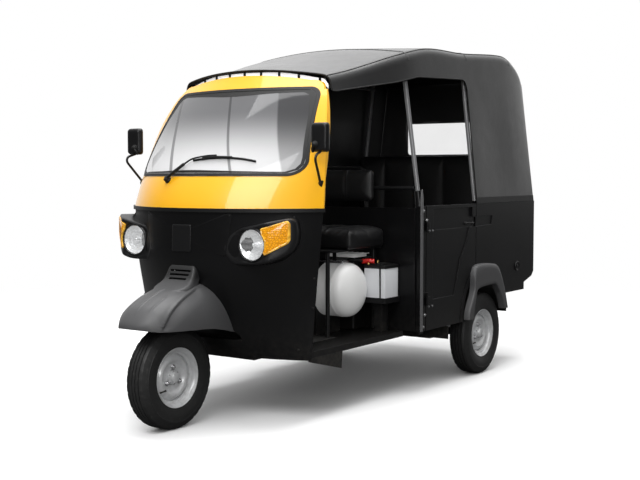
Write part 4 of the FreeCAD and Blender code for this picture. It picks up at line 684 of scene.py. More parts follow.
def smooth_path(points: Sequence[Vector], steps: int, closed: bool = False) -> Row:
    """Points of a smooth path through the given ones.

    Args:
        points: Places that it passes.
        steps: Steps from one place to the next.
        closed: Join the last place to the first.

    Returns:
        Its points.
    """
    spots = [Vector(p) for p in points]
    count = len(spots)
    if count < 3 and not closed:
        return spots
    path: Row = []
    for i in range(count if closed else count - 1):
        a = spots[(i - 1) % count] if closed or i > 0 else spots[i]
        b, c = spots[i], spots[(i + 1) % count]
        d = spots[(i + 2) % count] if closed or i + 2 < count else c
        for k in range(steps):
            t = k / steps
            path.append(((b * 2) + (c - a) * t + (a * 2 - b * 5 + c * 4 - d) * t**2
                         + (b * 3 - a - c * 3 + d) * t**3) / 2)
    if not closed:
        path.append(spots[-1])
    return path


def rounded_outline(corners: Sequence[Flat], radius: float, steps: int = 5) -> List[Flat]:
    """Outline with its corners rounded.

    Args:
        corners: Pairs in order.
        radius: Reach of a rounding along its edges.
        steps: Steps of a rounding.

    Returns:
        Pairs of the new outline.
    """
    result: List[Flat] = []
    count = len(corners)
    for i in range(count):
        before, corner, after = (Vector((*corners[(i + k) % count], 0)) for k in (-1, 0, 1))
        back, ahead = (before - corner), (after - corner)
        reach = min(radius, back.length * 0.45, ahead.length * 0.45)
        start, end = corner + back.normalized() * reach, corner + ahead.normalized() * reach
        for k in range(steps + 1):
            t = k / steps
            spot = start * (1 - t) ** 2 + corner * 2 * t * (1 - t) + end * t * t
            result.append((spot.x, spot.y))
    return result


def rectangle(half: float, low: float, high: float) -> List[Flat]:
    """Corners of a rectangle about the centre plane, from its half width and its heights."""
    return [(-half, low), (half, low), (half, high), (-half, high)]


def drawn_in(outline: Sequence[Flat], middle: Flat, inset: float = 0.0, share: float = 1.0) -> List[Flat]:
    """Outline brought towards a point.

    Args:
        outline: Pairs in order.
        middle: The point.
        inset: Distance by which each place moves.
        share: Share of the way from the point that is left after that.

    Returns:
        Pairs of the new outline.
    """
    result = []
    for u, v in outline:
        far = math.hypot(u - middle[0], v - middle[1])
        keep = (far - inset) / far * share
        result.append((middle[0] + (u - middle[0]) * keep, middle[1] + (v - middle[1]) * keep))
    return result


def reach_to(outline: Sequence[Flat], turn: float) -> float:
    """Distance from the origin to an outline round it.

    Args:
        outline: Pairs in order.
        turn: Direction in radians.

    Returns:
        Distance to the farthest edge in that direction.
    """
    out, up = math.cos(turn), math.sin(turn)
    best = 0.0
    for (x0, y0), (x1, y1) in zip(outline, [*outline[1:], outline[0]]):
        dx, dy = x1 - x0, y1 - y0
        det = up * dx - out * dy
        if abs(det) > 1e-9 and -1e-9 <= (out * y0 - up * x0) / det <= 1 + 1e-9:
            best = max(best, (y0 * dx - x0 * dy) / det)
    return best


def apply_modifiers(piece: bpy.types.Object) -> None:
    """Replace a piece's mesh by the one that its modifiers give.

    Args:
        piece: The object.
    """
    if not piece.modifiers:
        return
    graph = bpy.context.evaluated_depsgraph_get()
    mesh = bpy.data.meshes.new_from_object(piece.evaluated_get(graph))
    old = piece.data
    piece.modifiers.clear()
    piece.data = mesh
    mesh.name = piece.name
    bpy.data.meshes.remove(old)


class Surface:
    """Outer surface of some CAD nodes, to seat pieces on."""

    def __init__(self, *nodes: str) -> None:
        """Read the nodes' meshes.

        Args:
            nodes: Names of CAD nodes.
        """
        verts: Row = []
        faces: List[Tuple[int, ...]] = []
        for name in nodes:
            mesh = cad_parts[name].data
            start = len(verts)
            verts.extend(v.co.copy() for v in mesh.vertices)
            faces.extend(tuple(start + i for i in face.vertices) for face in mesh.polygons)
        self.tree = BVHTree.FromPolygons(verts, faces)

    def hit(self, start: Vector, heading: Vector) -> Tuple[Vector, Vector]:
        """Place and normal where a ray meets the surface; the start itself if it misses.

        Args:
            start: Where the ray begins.
            heading: Its direction.

        Returns:
            The place, and the normal towards the start.
        """
        spot, normal, _, _ = self.tree.ray_cast(start, heading.normalized())
        if spot is None:
            return start.copy(), -heading.normalized()
        return spot, (-normal if normal.dot(heading) > 0 else normal)

    def front(self, x: float, z: float) -> Tuple[Vector, Vector]:
        """Place and normal on the front at x and z, in mm."""
        return self.hit(at(x, AHEAD, z), BACK)

    def side(self, station: float, z: float, sign: int = 1) -> Tuple[Vector, Vector]:
        """Place and normal on a side at a station and height, in mm."""
        return self.hit(at(sign * 1500, station, z), Vector((-sign, 0, 0)))


def finish_nodes(finish: Finish, *names: str) -> None:
    """Give CAD nodes one finish.

    Args:
        finish: The finish.
        names: Names of the nodes.
    """
    for name in names:
        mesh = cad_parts[name].data
        mesh.materials.clear()
        mesh.materials.append(material(finish))


class Assembly:
    """Sub-assembly: the pieces that it builds and the CAD nodes that it finishes."""

    def build(self) -> None:
        """Build the pieces."""

    def dress(self) -> None:
        """Finish the CAD nodes that stay."""


# Wheels

@dataclass
class Wheel(Assembly):
    """Wheel with its ribbed tyre, pressed rim, hub, brake drum, bolts and valve.

    The profiles are pairs of distance outboard and radius; tread, wall and barrel give one half.
    """

    place: str
    body: Body
    x: float
    station: float
    side: int
    tyre_node: str
    rim_node: str
    height: float = 242
    tread: Tuple[Flat, ...] = ((6.5, 242), (7.5, 235), (10.5, 235), (11.5, 242), (26.5, 241.2), (27.5, 234),
                               (30.5, 234), (31.5, 240.8), (41, 239.6), (46, 236.5))
    wall: Tuple[Flat, ...] = ((49.5, 230), (54, 221), (58, 212), (59.2, 208), (60.4, 207), (60.6, 203), (59.8, 202),
                              (60.7, 190), (60.4, 178), (57.5, 163), (54, 152), (53, 149.5), (51.5, 149), (50, 144),
                              (46, 137), (42, 130), (34, 126))
    barrel: Tuple[Flat, ...] = ((20, 113), (25, 126), (40, 127.5), (45, 131), (47.5, 140.5), (50.5, 141), (51.7, 140),
                                (49, 136), (43, 128), (37, 123), (27, 121.5), (22, 110))
    disc: Tuple[Flat, ...] = ((8, 111), (13, 107), (18, 102), (26, 96), (30, 90), (31, 84), (29, 78), (23, 72),
                              (17, 67), (14, 60), (14, 36), (11, 36), (11, 60), (13, 68), (20, 75), (26, 80),
                              (27, 84), (26, 88), (14, 100), (6, 108))
    hub: Tuple[Flat, ...] = ((-34, 26), (-30, 34), (16, 34), (22, 32), (24, 27), (34, 25.5), (40, 22), (43, 14),
                             (44, 0))
    drum: Tuple[Flat, ...] = ((8, 40), (8, 84), (4, 92), (0, 92), (-2, 88.5), (-8, 88.5), (-10, 92), (-14, 92),
                              (-16, 88.5), (-22, 88.5), (-24, 92), (-28, 92), (-30, 88.5), (-34, 88.5), (-38, 91),
                              (-42, 86), (-42, 20))
    columns: int = 144
    zigzag: float = 0.9
    notch: float = 2.2
    bolts: int = 3
    bolt_circle: float = 48.0

    def centre(self) -> Vector:
        """Middle of the wheel."""
        return at(self.x, self.station, self.height)

    def tyre(self) -> Form:
        """Tyre with zigzag grooves and notched shoulders.

        Returns:
            The form.
        """
        half = [(along, radius, 1) for along, radius in self.tread] + [(*pair, 0) for pair in self.wall]
        rows: List[Row] = []
        for along, radius, tread in [(-a, r, flag) for a, r, flag in reversed(half)] + half:
            row = []
            for k in range(self.columns):
                swing = (0, 1, 0, -1)[k % 4] * self.zigzag * tread if abs(along) < 40 else 0.0
                cut = self.notch if k % 4 == 0 and 40 < abs(along) < 55 and radius > 220 else 0.0
                turn = math.tau * k / self.columns
                row.append(self.centre() + by(along + swing, math.cos(turn) * (radius - cut),
                                              math.sin(turn) * (radius - cut)))
            rows.append(row)
        return Form().grid(rows, close_rows=True, close_columns=True)

    def around(self, radius: float, along: float, count: int, first: float = 0.25) -> Row:
        """Places on a circle about the axle; the first is a share of a round on."""
        turns = (math.tau * (k / count + first) for k in range(count))
        return [self.centre() + by(self.side * along, math.cos(t) * radius, math.sin(t) * radius) for t in turns]

    def build(self) -> None:
        """Build the wheel's pieces."""
        axis, centre = LEFT * self.side, self.centre()
        self.tyre().piece(f"tyre_{self.place}", Finish.TYRE, "tyre_rubber", self.body, (self.tyre_node,), sharp=28)
        barrel = [*self.barrel, *((-along, radius) for along, radius in reversed(self.barrel))]
        rim = Form().turned(barrel, centre, axis, 96, True).turned(self.disc, centre, axis, 96, True)
        rim.piece(f"rim_{self.place}", Finish.RIM, "rim_paint", self.body, (self.rim_node,), sharp=40)
        hub, drum, bolts = Form().turned(self.hub, centre, axis), Form().turned(self.drum, centre, axis, 72), Form()
        hub.piece(f"hub_{self.place}", Finish.RIM, "rim_paint", self.body, sharp=30)
        drum.piece(f"drum_{self.place}", Finish.CAST, "castings", self.body, sharp=30)
        for spot in self.around(self.bolt_circle, 15, self.bolts):
            bolts.turned([(0, 13), (3, 12.5), (4, 11)], spot, axis, 24)
            bolts.bolt(spot + axis * 0.004, axis, 8.5)
            bolts.turned([(10, 4.5), (18, 4.5), (19, 3.5)], spot, axis, 12)
        for spot in self.around(30, 24, 6, 0.1):
            bolts.bolt(spot, axis, 3)
        bolts.piece(f"wheel_bolts_{self.place}", Finish.BRIGHT, "bright_steel", self.body, sharp=30)
        foot = self.around(104, 16, 1, 0.6)[0]
        outward = Vector((0, foot.y - centre.y, foot.z - centre.z)).normalized()
        heading = (axis * 0.8 - outward * 0.6).normalized()
        valve = Form().turned([(-4, 6), (2, 5.5), (8, 4), (22, 3.5), (23, 4.5), (30, 4.5), (31, 3)], foot, heading, 14)
        valve.piece(f"valve_{self.place}", Finish.RUBBER, "seal_rubber", self.body, sharp=30)


# Steering and front suspension

@dataclass
class Steering(Assembly):
    """Handlebar fittings, and the coil spring beside the leg of the front fork."""

    bar_end: Point = (340, 598, 1200)
    bar_bend: Point = (110, 528, 1190)
    grip_length: float = 118
    grip_radius: float = 18.4
    spring_radius: float = 23.5
    spring_wire: float = 4.2
    turns: int = 8
    leg: Tuple[Point, Point] = ((-151.5, -10, 252), (-151.5, 98, 470))

    def grip(self, side: int) -> Tuple[Vector, Vector]:
        """Inner end and direction of a grip.

        Args:
            side: 1 for the vehicle's left, -1 for its right.

        Returns:
            The end, and the direction outboard.
        """
        end, bend = (at(side * x, station, z) for x, station, z in (self.bar_end, self.bar_bend))
        heading = (end - bend).normalized()
        return end - heading * self.grip_length / 1000, heading

    def build(self) -> None:
        """Build the grips, levers, switch boxes and spring."""
        grips, boxes, levers = Form(), Form(), Form()
        radius, length = self.grip_radius, self.grip_length
        profile = [(-4, radius + 8), (0, radius + 9), (3, radius + 2)]
        for along in [6 + k * length / 22 for k in range(22)]:
            profile += [(along, radius + 1.2), (along + 2.6, radius)]
        profile += [(length, radius + 4), (length + 5, radius)]
        for side in (1, -1):
            start, heading = self.grip(side)
            grips.turned(profile, start, heading, 32)
            inside = start - heading * 0.042
            boxes.turned([(-22, 16), (-18, 23), (24, 24), (30, 19)], inside, heading, 20)
            boxes.box(inside + by(-12, -30, -14), inside + by(12, -10, 16))
            pivot = inside + by(0, -34, 2)
            levers.turned([(-6, 11), (6, 11)], pivot, UP, 16)
            levers.tube([pivot, pivot + heading * 0.05 + by(0, -12, 0), pivot + heading * 0.12 + by(0, -6, 0),
                         pivot + heading * 0.165 + by(0, -14, 0)], 5.8)
        grips.piece("handlebar_grips", Finish.RUBBER, "seal_rubber", Body.STEERING, sharp=40)
        boxes.piece("switch_boxes", Finish.TRIM, "moulding", Body.STEERING, bevel=3)
        levers.piece("control_levers", Finish.CAST, "castings", Body.STEERING)
        low, high = (at(*end) for end in self.leg)
        heading = (high - low).normalized()
        spring = coil(low + heading * 0.045, low + heading * 0.195, self.spring_radius, self.spring_wire, self.turns)
        spring.piece("front_spring", Finish.STRIP, "frame_paint", Body.STEERING)

    def dress(self) -> None:
        """Finish the column, bar, link and damper."""
        finish_nodes(Finish.FRAME, "steering_column", "handlebar", "front_damper")
        finish_nodes(Finish.CAST, "front_link")


def coil(low: Vector, high: Vector, radius: float, wire: float, turns: int) -> Form:
    """Coil spring.

    Args:
        low: Lower end of its middle line.
        high: Upper end of it.
        radius: Radius of the coil.
        wire: Radius of the wire.
        turns: Number of turns.

    Returns:
        The form.
    """
    heading = (high - low).normalized()
    first = heading.cross(LEFT).normalized()
    ring = circle(Vector(), first, heading.cross(first), radius, 18)
    steps = turns * 18
    return Form().tube([low + (high - low) * (k / steps) + ring[k % 18] for k in range(steps + 1)], wire, 8, 1)


# Front

@dataclass
class Lamps(Assembly):
    """Headlamp pods with their reflectors, lenses and amber lamps.

    The outlines are offsets outboard and up from the lens's centre, and the plan gives the station of the front by the
    offset outboard. The amber lamp's arc has a radius and two angles in degrees.
    """

    x: float = 366.9
    z: float = 862.8
    face: float = 149.0
    outline: Tuple[Flat, ...] = ((-155, -25), (-117, 51), (-70, 76), (33, 95), (163, 124), (180, 112), (186, 60),
                                 (182, 10), (166, -34), (112, -74), (33, -95), (-105, -98))
    plan: Tuple[Flat, ...] = ((-165, 116), (-150, 119), (-92, 146), (-76, 149), (70, 149), (92, 158), (164, 219),
                              (190, 245))
    amber_corners: Tuple[Flat, ...] = ((57, 76), (160, 112), (168, 98), (168, 24), (160, 8), (76, -46))
    amber_arc: Point = (79, -27, 40)
    amber_middle: Flat = (120, 36)
    undercut: float = 34.0
    samples: int = 120

    def spot(self, side: int, outboard: float, up: float, behind: float) -> Vector:
        """Point on the pod's front, moved back."""
        return at(side * (self.x + outboard), curve_through(self.plan, outboard) + behind, self.z + up)

    def pod(self, side: int, shell: Surface) -> Form:
        """One pod, from the body panel out to the lens's ring.

        Args:
            side: 1 for the vehicle's left, -1 for its right.
            shell: Panel that the pod stands on.

        Returns:
            The form.
        """
        outline = rounded_outline(self.outline, 26)
        turns = [math.tau * k / self.samples for k in range(self.samples)]
        rays = [(math.cos(t), math.sin(t), reach_to(outline, t)) for t in turns]
        back = []
        for u, v, far in rays:
            outboard = u * far - self.undercut * ease(u * far, 60, 170)
            back.append(shell.front(side * (self.x + outboard), self.z + v * far)[0] + by(0, 6, 0))
        rows = [back]
        for inset, behind in ((0, 16), (1.5, 8), (5, 3), (10, 0.5), (16, 0)):
            rows.append([self.spot(side, u * (far - inset), v * (far - inset), behind) for u, v, far in rays])
        for share in (0.35, 0.7, 1.0):
            ring = [(u, v, far - 16 + (99 - far) * share) for u, v, far in rays]
            rows.append([self.spot(side, u * far, v * far, 5 * ease(share, 0, 1)) for u, v, far in ring])
        for radius, behind in ((80, 4), (77, -1), (74, -2), (72, 0), (70, 8), (69, 30)):
            rows.append([at(side * (self.x + u * radius), self.face + behind, self.z + v * radius)
                         for u, v, _ in rays])
        return Form().grid(rows, close_columns=True)

    def reflector(self, side: int) -> Form:
        """Faceted bowl of a headlamp.

        Args:
            side: 1 for the vehicle's left, -1 for its right.

        Returns:
            The form.
        """
        centre = at(side * self.x, self.face, self.z)
        rows = []
        for i, (radius, behind) in enumerate(((70, 6), (58, 16), (58, 19), (44, 27), (44, 30), (28, 35), (12, 38))):
            turns = [math.tau * (k + i // 2 * 0.5) / 22 for k in range(22)]
            rows.append([centre + by(math.cos(t) * radius, behind, math.sin(t) * radius) for t in turns])
        return Form().grid(rows, close_columns=True, caps=(-1,))

    def amber(self, side: int, levels: Sequence[Flat], fill: bool) -> Form:
        """Amber lamp wrapped round the pod's corner, or the border round its window.

        Args:
            side: 1 for the vehicle's left, -1 for its right.
            levels: Pairs of inset from the outline and distance behind the pod's front.
            fill: Close the middle with the window.

        Returns:
            The form.
        """
        radius, low, high = self.amber_arc
        turns = [math.radians(low + (high - low) * k / 12) for k in range(13)]
        arc = [(radius * math.cos(t), radius * math.sin(t)) for t in turns]
        outline = rounded_outline(self.amber_corners, 7) + arc
        rings = [(drawn_in(outline, self.amber_middle, inset), behind) for inset, behind in levels]
        if fill:
            rings += [(drawn_in(outline, self.amber_middle, 0, share), levels[-1][1])
                      for share in (0.75, 0.5, 0.25, 0.02)]
        rows = [[self.spot(side, u, v, behind) for u, v in ring] for ring, behind in rings]
        return Form().grid(rows, close_columns=True, caps=(-1,) if fill else ())

    def build(self) -> None:
        """Build the pods, reflectors, lenses and amber lamps."""
        shell = Surface("front_shield")
        pods, bowls, lenses, ambers, bulbs, borders = Form(), Form(), Form(), Form(), Form(), Form()
        for side in (1, -1):
            pods.join(self.pod(side, shell))
            bowls.join(self.reflector(side))
            ambers.join(self.amber(side, ((0, 4), (0, -3), (1.5, -5.5), (4, -6.0)), True))
            borders.join(self.amber(side, ((0, 3), (-0.8, -3), (0.6, -7.0), (4.5, -8.2), (7.5, -6.4)), False))
            centre = at(side * self.x, self.face, self.z)
            lenses.turned([(4, 70.5), (1, 70), (-1, 67), (-4.5, 58), (-7.5, 45), (-9.5, 30), (-10.8, 14), (-11, 0)],
                          centre, BACK, 64)
            bulbs.turned([(36, 10), (20, 9), (14, 7), (11, 3)], centre, BACK, 20)
        pods.piece("lamp_pods", Finish.POD, "moulding", replaces=("lamp_housings",), sharp=50)
        bowls.piece("lamp_reflectors", Finish.REFLECTOR, "bright_steel", sharp=4)
        bulbs.piece("lamp_bulbs", Finish.REFLECTOR, "bright_steel")
        lenses.piece("headlamp_glasses", Finish.CLEAR, "lamp_glass", replaces=("headlamp_lenses",))
        ambers.piece("amber_lamps", Finish.AMBER, "amber_lens", replaces=("indicator_lenses",), sharp=50)
        borders.piece("amber_borders", Finish.AMBER_RIM, "amber_lens", sharp=50)


@dataclass
class FrontShell(Assembly):
    """Shield with its raised field, the plate between the lamps, its screws, and the screen behind the vents."""

    plate_half_width: float = 58
    plate_low: float = 822
    plate_high: float = 950
    plate_stand: float = 6
    vent_low: float = 684
    vent_high: float = 746
    panel_half_width: float = 262
    panel_low: float = 806
    panel_high: float = 1004
    screws: Tuple[Flat, ...] = ((500, 985), (470, 360), (536, 560), (548, 700), (250, 996))

    def patch(self, shell: Surface, corners: Sequence[Flat], stand: float, radius: float) -> Form:
        """Raised panel that follows the shield.

        Args:
            shell: The shield.
            corners: Its corners, as pairs of x and height.
            stand: How far it stands off the shield.
            radius: Rounding of its corners.

        Returns:
            The form.
        """
        outline = rounded_outline(corners, radius)
        middle = tuple(sum(pair[i] for pair in outline) / len(outline) for i in (0, 1))
        rings = [(drawn_in(outline, middle, inset), lift)
                 for inset, lift in ((0, -1), (0, stand - 2), (1, stand - 0.6), (3, stand))]
        rings += [(drawn_in(outline, middle, 0, share), stand) for share in (0.8, 0.6, 0.4, 0.2, 0.02)]
        rows = [[shell.front(x, z)[0] - by(0, lift, 0) for x, z in ring] for ring, lift in rings]
        return Form().grid(rows, close_columns=True, caps=(-1,))

    def build(self) -> None:
        """Build the plate, the raised field, the screws and the screen behind the vents."""
        shell = Surface("front_shield")
        corners = rectangle(self.plate_half_width, self.plate_low, self.plate_high)
        self.patch(shell, corners, self.plate_stand, 8).piece("front_plate", Finish.POD, "moulding", sharp=50)
        half, screws = self.panel_half_width, Form()
        corners = [(26 - half, self.panel_low), (half - 26, self.panel_low), (half, self.panel_high),
                   (-half, self.panel_high)]
        self.patch(shell, corners, 2.6, 16).piece("shield_panel", Finish.BLACK, "black_paint", sharp=50)
        for side in (1, -1):
            for x, z in self.screws:
                screws.bolt(*shell.front(side * x, z), 4.5)
        screws.piece("shield_screws", Finish.TRIM, "moulding", sharp=30)
        backing = Form().grid([[at(12 * k, 118 + 0.1 * k ** 2, z) for k in range(-6, 7)]
                               for z in (self.vent_low, self.vent_high)])
        backing.piece("vent_screen", Finish.RUBBER, "moulding", thickness=2)

    def dress(self) -> None:
        """Finish the shield, wheel housing, moulding and aprons."""
        finish_nodes(Finish.BLACK, "front_shield", "wheel_housing")
        finish_nodes(Finish.TRIM, "belt_moulding", "splash_aprons")


@dataclass
class Mudguard(Assembly):
    """Beak over the front wheel with its ridges, and the vented neck that runs up the shield.

    Crown height, half width, lower edge and crease go by station. The neck's rows are station, height and half width,
    and a slot's are its lower and upper height and half width.
    """

    crown: Tuple[Flat, ...] = ((-262, 500), (-258, 512), (-250, 526), (-235, 546), (-215, 569), (-190, 590),
                               (-130, 621), (-63, 645), (0, 662), (100, 682), (286, 688))
    half: Tuple[Flat, ...] = ((-262, 20), (-258, 44), (-250, 66), (-235, 92), (-215, 112), (-190, 131), (-130, 153),
                              (-63, 171), (0, 180), (100, 189), (286, 190))
    edge: Tuple[Flat, ...] = ((-262, 494), (-200, 483), (-60, 478), (80, 472), (150, 460), (235, 440), (286, 430))
    crease: Tuple[Flat, ...] = ((-215, 215), (-190, 180), (-150, 152), (-100, 137), (-43, 125), (60, 106))
    fullness: float = 2.45
    neck: Tuple[Point, ...] = (
        (-46, 648, 50), (-20, 656, 84), (10, 667, 98), (36, 679, 97), (54, 692, 92), (67, 710, 88), (78, 732, 85),
        (86, 750, 80), (90, 757, 72))
    slots: Tuple[Point, ...] = ((692, 700, 50), (710.5, 718.5, 57), (729, 737, 62))
    steps: int = 84

    def relief(self, along: float, station: float) -> float:
        """Height of the ridges at a distance down the section from the crown, in mm.

        Args:
            along: Distance down the section.
            station: Where the section is taken.

        Returns:
            The height.
        """
        crease = along - curve_through(self.crease, station)
        fade = 1 - ease(station, 45, 88)
        lip = 3.2 * math.exp(-(crease / 7) ** 2) - 6.5 * ease(crease, 1, 11) * (1 - ease(crease, 16, 85))
        middle = 4.6 * math.exp(-(along / 5) ** 2) * ease(station, -236, -200) * (1 - ease(station, -40, 0))
        short = 4.8 * math.exp(-((along - 70) / 5) ** 2) * ease(station, -212, -180) * (1 - ease(station, -115, -85))
        return lip * fade + middle + short

    def section(self, station: float) -> Row:
        """Half section from the crown down to the lower edge.

        Args:
            station: Where the section is taken.

        Returns:
            Its points on the left side.
        """
        crown, half, edge = (curve_through(table, station) for table in (self.crown, self.half, self.edge))
        flat, bulge = [], 2 / self.fullness
        for t in [math.pi / 2 * (1 - k / self.steps) for k in range(self.steps + 1)]:
            flat.append((half * math.cos(t) ** bulge, edge + (crown - edge) * math.sin(t) ** bulge))
        points, along = [], 0.0
        for k, (x, z) in enumerate(flat):
            before, after = flat[max(k - 1, 0)], flat[min(k + 1, self.steps)]
            along += math.dist(flat[k], before)
            lift = self.relief(along, station) * ease(self.steps - k, 0, 6) / max(math.dist(after, before), 1e-6)
            points.append(at(x - (after[1] - before[1]) * lift, station, z + (after[0] - before[0]) * lift))
        return points

    def beak(self) -> Form:
        """Arched shell over the wheel.

        Returns:
            The form.
        """
        stations = [-262, -261, -259, -256, -252, -247, -241, -234, -226, -217, -208]
        stations += [-200 + 9 * k for k in range(55)]
        halves = [self.section(station) for station in stations]
        return Form().grid([mirrored(reversed(half[1:])) + half for half in halves], caps=(0,))

    def vented_neck(self) -> Form:
        """Sloped face with the three slots, rolled back at its sides.

        Returns:
            The form.
        """
        centre, width = [(z, station) for station, z, _ in self.neck], [(z, half) for _, z, half in self.neck]
        heights = [648, 651, 654, 658, 662, 667, 672, 677, 682, 687, 748, 753, 757]
        heights = sorted(heights + [z for low, high, _ in self.slots for z in (low, high, high + 5.3)])
        form, rows = Form(), []
        for z in heights:
            half, station = curve_through(width, z), curve_through(centre, z)
            low, high = (curve_through(centre, z + d) for d in (-3, 3))
            inward = Vector((0, 6, low - high)).normalized() / 1000
            face = []
            for share in [k / 24 for k in range(-24, 25)]:
                roll = max(abs(share) * half - (half - 13), 0)
                drop = 3 * share ** 2 + 13 - math.sqrt(max(13 ** 2 - roll ** 2, 0))
                face.append(at(share * half, station, z) + inward * drop)
            rows.append([at(-half, station, z) + inward * tail for tail in (46, 22)] + face
                        + [at(half, station, z) + inward * tail for tail in (22, 46)])
        for low, high, z in zip(rows, rows[1:], heights):
            slot = next((wide for bottom, top, wide in self.slots if bottom <= z < top), 0)
            half = curve_through(width, z)
            spans: List[List[int]] = [[]]
            for j in range(len(low)):
                if slot and abs((j - 2) / 24 - 1) * half < slot:
                    spans.append([])
                else:
                    spans[-1].append(j)
            for span in spans:
                if len(span) > 1:
                    form.grid([[low[j] for j in span], [high[j] for j in span]])
        return form

    def build(self) -> None:
        """Build the mudguard in one piece."""
        self.beak().join(self.vented_neck()).piece("mudguard_shell", Finish.GUARD, "moulding",
                                                   replaces=("front_mudguard",), thickness=3, sharp=55)


@dataclass
class Screen(Assembly):
    """Windscreen with its surround, seal, glass with the view through it painted in, wiper and glowing header strip.

    The strip's heights go by distance from the centre plane, and the wiper's lines are pairs of x and height.
    """

    gap_low: Tuple[Flat, ...] = ((0, 1675), (200, 1666), (300, 1656), (380, 1643), (420, 1625), (440, 1604))
    gap_high: Tuple[Flat, ...] = ((0, 1690), (200, 1684), (300, 1671), (380, 1655), (420, 1646), (440, 1613))
    nose: float = 560
    edge: float = 663
    edge_half: float = 440
    posts: int = 9
    glass_middle: float = 1390
    border: float = 13
    border_top: float = 26
    pivot: Flat = (-146, 1156)
    arm: Tuple[Flat, ...] = ((-146, 1156), (-111, 1186), (-60, 1228), (-18, 1253), (60, 1266), (112, 1268))
    blade: Tuple[Flat, ...] = ((-22, 1250), (60, 1259), (150, 1262), (240, 1256), (308, 1244))
    bridge: Tuple[Flat, ...] = ((40, 1258), (112, 1262), (190, 1260))

    def bow(self, x: float, behind: float) -> float:
        """Station of the hem over a place across the vehicle, moved back."""
        return self.nose + (self.edge - self.nose) * (x / self.edge_half) ** 2 + behind

    def build(self) -> None:
        """Build the pale strip, which glows as painted light, and its posts, the glass's border and the wiper."""
        places = [-436 + 872 * k / 60 for k in range(61)]
        strip = Form().grid([[at(x, self.bow(x, 14), curve_through(table, abs(x)) + lift) for x in places]
                             for table, lift in ((self.gap_low, -6), (self.gap_high, 2))])
        # The strip's finish glows: painted light in place of the hood's shade.
        strip.piece("header_gap", Finish.GAP, "clear_sheet", thickness=2)
        posts = Form()
        for x in [-400 + 800 * k / (self.posts - 1) for k in range(self.posts)]:
            low, high = curve_through(self.gap_low, abs(x)), curve_through(self.gap_high, abs(x))
            posts.box(at(x - 5, self.bow(x, 4), low - 4), at(x + 5, self.bow(x, 15), high + 2))
        posts.piece("header_posts", Finish.TRIM, "moulding", bevel=1.5)
        self.glass_border()
        self.wiper()

    def glass_border(self) -> None:
        """Black band round the edge of the glass, wider along the top: partly the black seal made wider, partly
        painted shadow inside the seal.
        """
        glass = Surface("windscreen_glass")
        outline = []
        for out, up in [(math.cos(math.tau * k / 120), math.sin(math.tau * k / 120)) for k in range(120)]:
            near, far = 100.0, 900.0
            while far - near > 0.5:
                reach = (near + far) / 2
                missed = glass.front(reach * out, self.glass_middle + reach * up)[0].y < at(0, AHEAD + 1, 0).y
                near, far = (near, reach) if missed else (reach, far)
            outline.append((near * out, near * up))
        rows = []
        for share in (0.0, 0.5, 1.0):
            row = []
            for u, v in outline:
                width = self.border + (self.border_top - self.border) * ease(v, 60, 170)
                keep = 1 - (1 + share * width) / math.hypot(u, v)
                spot, normal = glass.front(u * keep, self.glass_middle + v * keep)
                row.append(spot + normal * 0.0008)
            rows.append(row)
        Form().grid(rows, close_columns=True).piece("glass_border", Finish.RUBBER, "seal_rubber")

    def wiper(self) -> None:
        """Wiper with its spindle, arm, bridge, claws and rubber blade."""
        front = Surface("windscreen_glass", "windscreen_surround", "windscreen_seal")

        def over(points: Sequence[Flat], lift: float) -> Row:
            """Places in front of the glass."""
            return [front.front(x, z)[0] + by(0, -lift, lift * 0.4) for x, z in points]

        arm, blade = Form(), Form()
        spindle, normal = front.front(*self.pivot)
        arm.turned([(-4, 17), (6, 17), (9, 14), (20, 13), (23, 9)], spindle, normal, 24)
        path = over(self.arm, 15)
        path[0] = spindle + normal * 0.016
        arm.tube(path, 4.2)
        arm.tube(path[:3], 7.8)
        arm.tube(over(self.bridge, 13), 4.8)
        for near, far in zip(over(self.bridge, 5), over(self.bridge, 14)):
            arm.tube([near, far], 5.5)
        blade.tube(over(self.blade, 6), 3.6, 8)
        blade.tube(over([(x, z - 4) for x, z in self.blade], 3), 2.2, 6)
        arm.piece("wiper_arm", Finish.TRIM, "moulding", replaces=("wiper",), sharp=40)
        blade.piece("wiper_blade", Finish.RUBBER, "seal_rubber")

    def dress(self) -> None:
        """Finish the surround, seal and glass."""
        finish_nodes(Finish.YELLOW, "windscreen_surround")
        finish_nodes(Finish.RUBBER, "windscreen_seal")
        finish_nodes(Finish.SCREEN, "windscreen_glass")


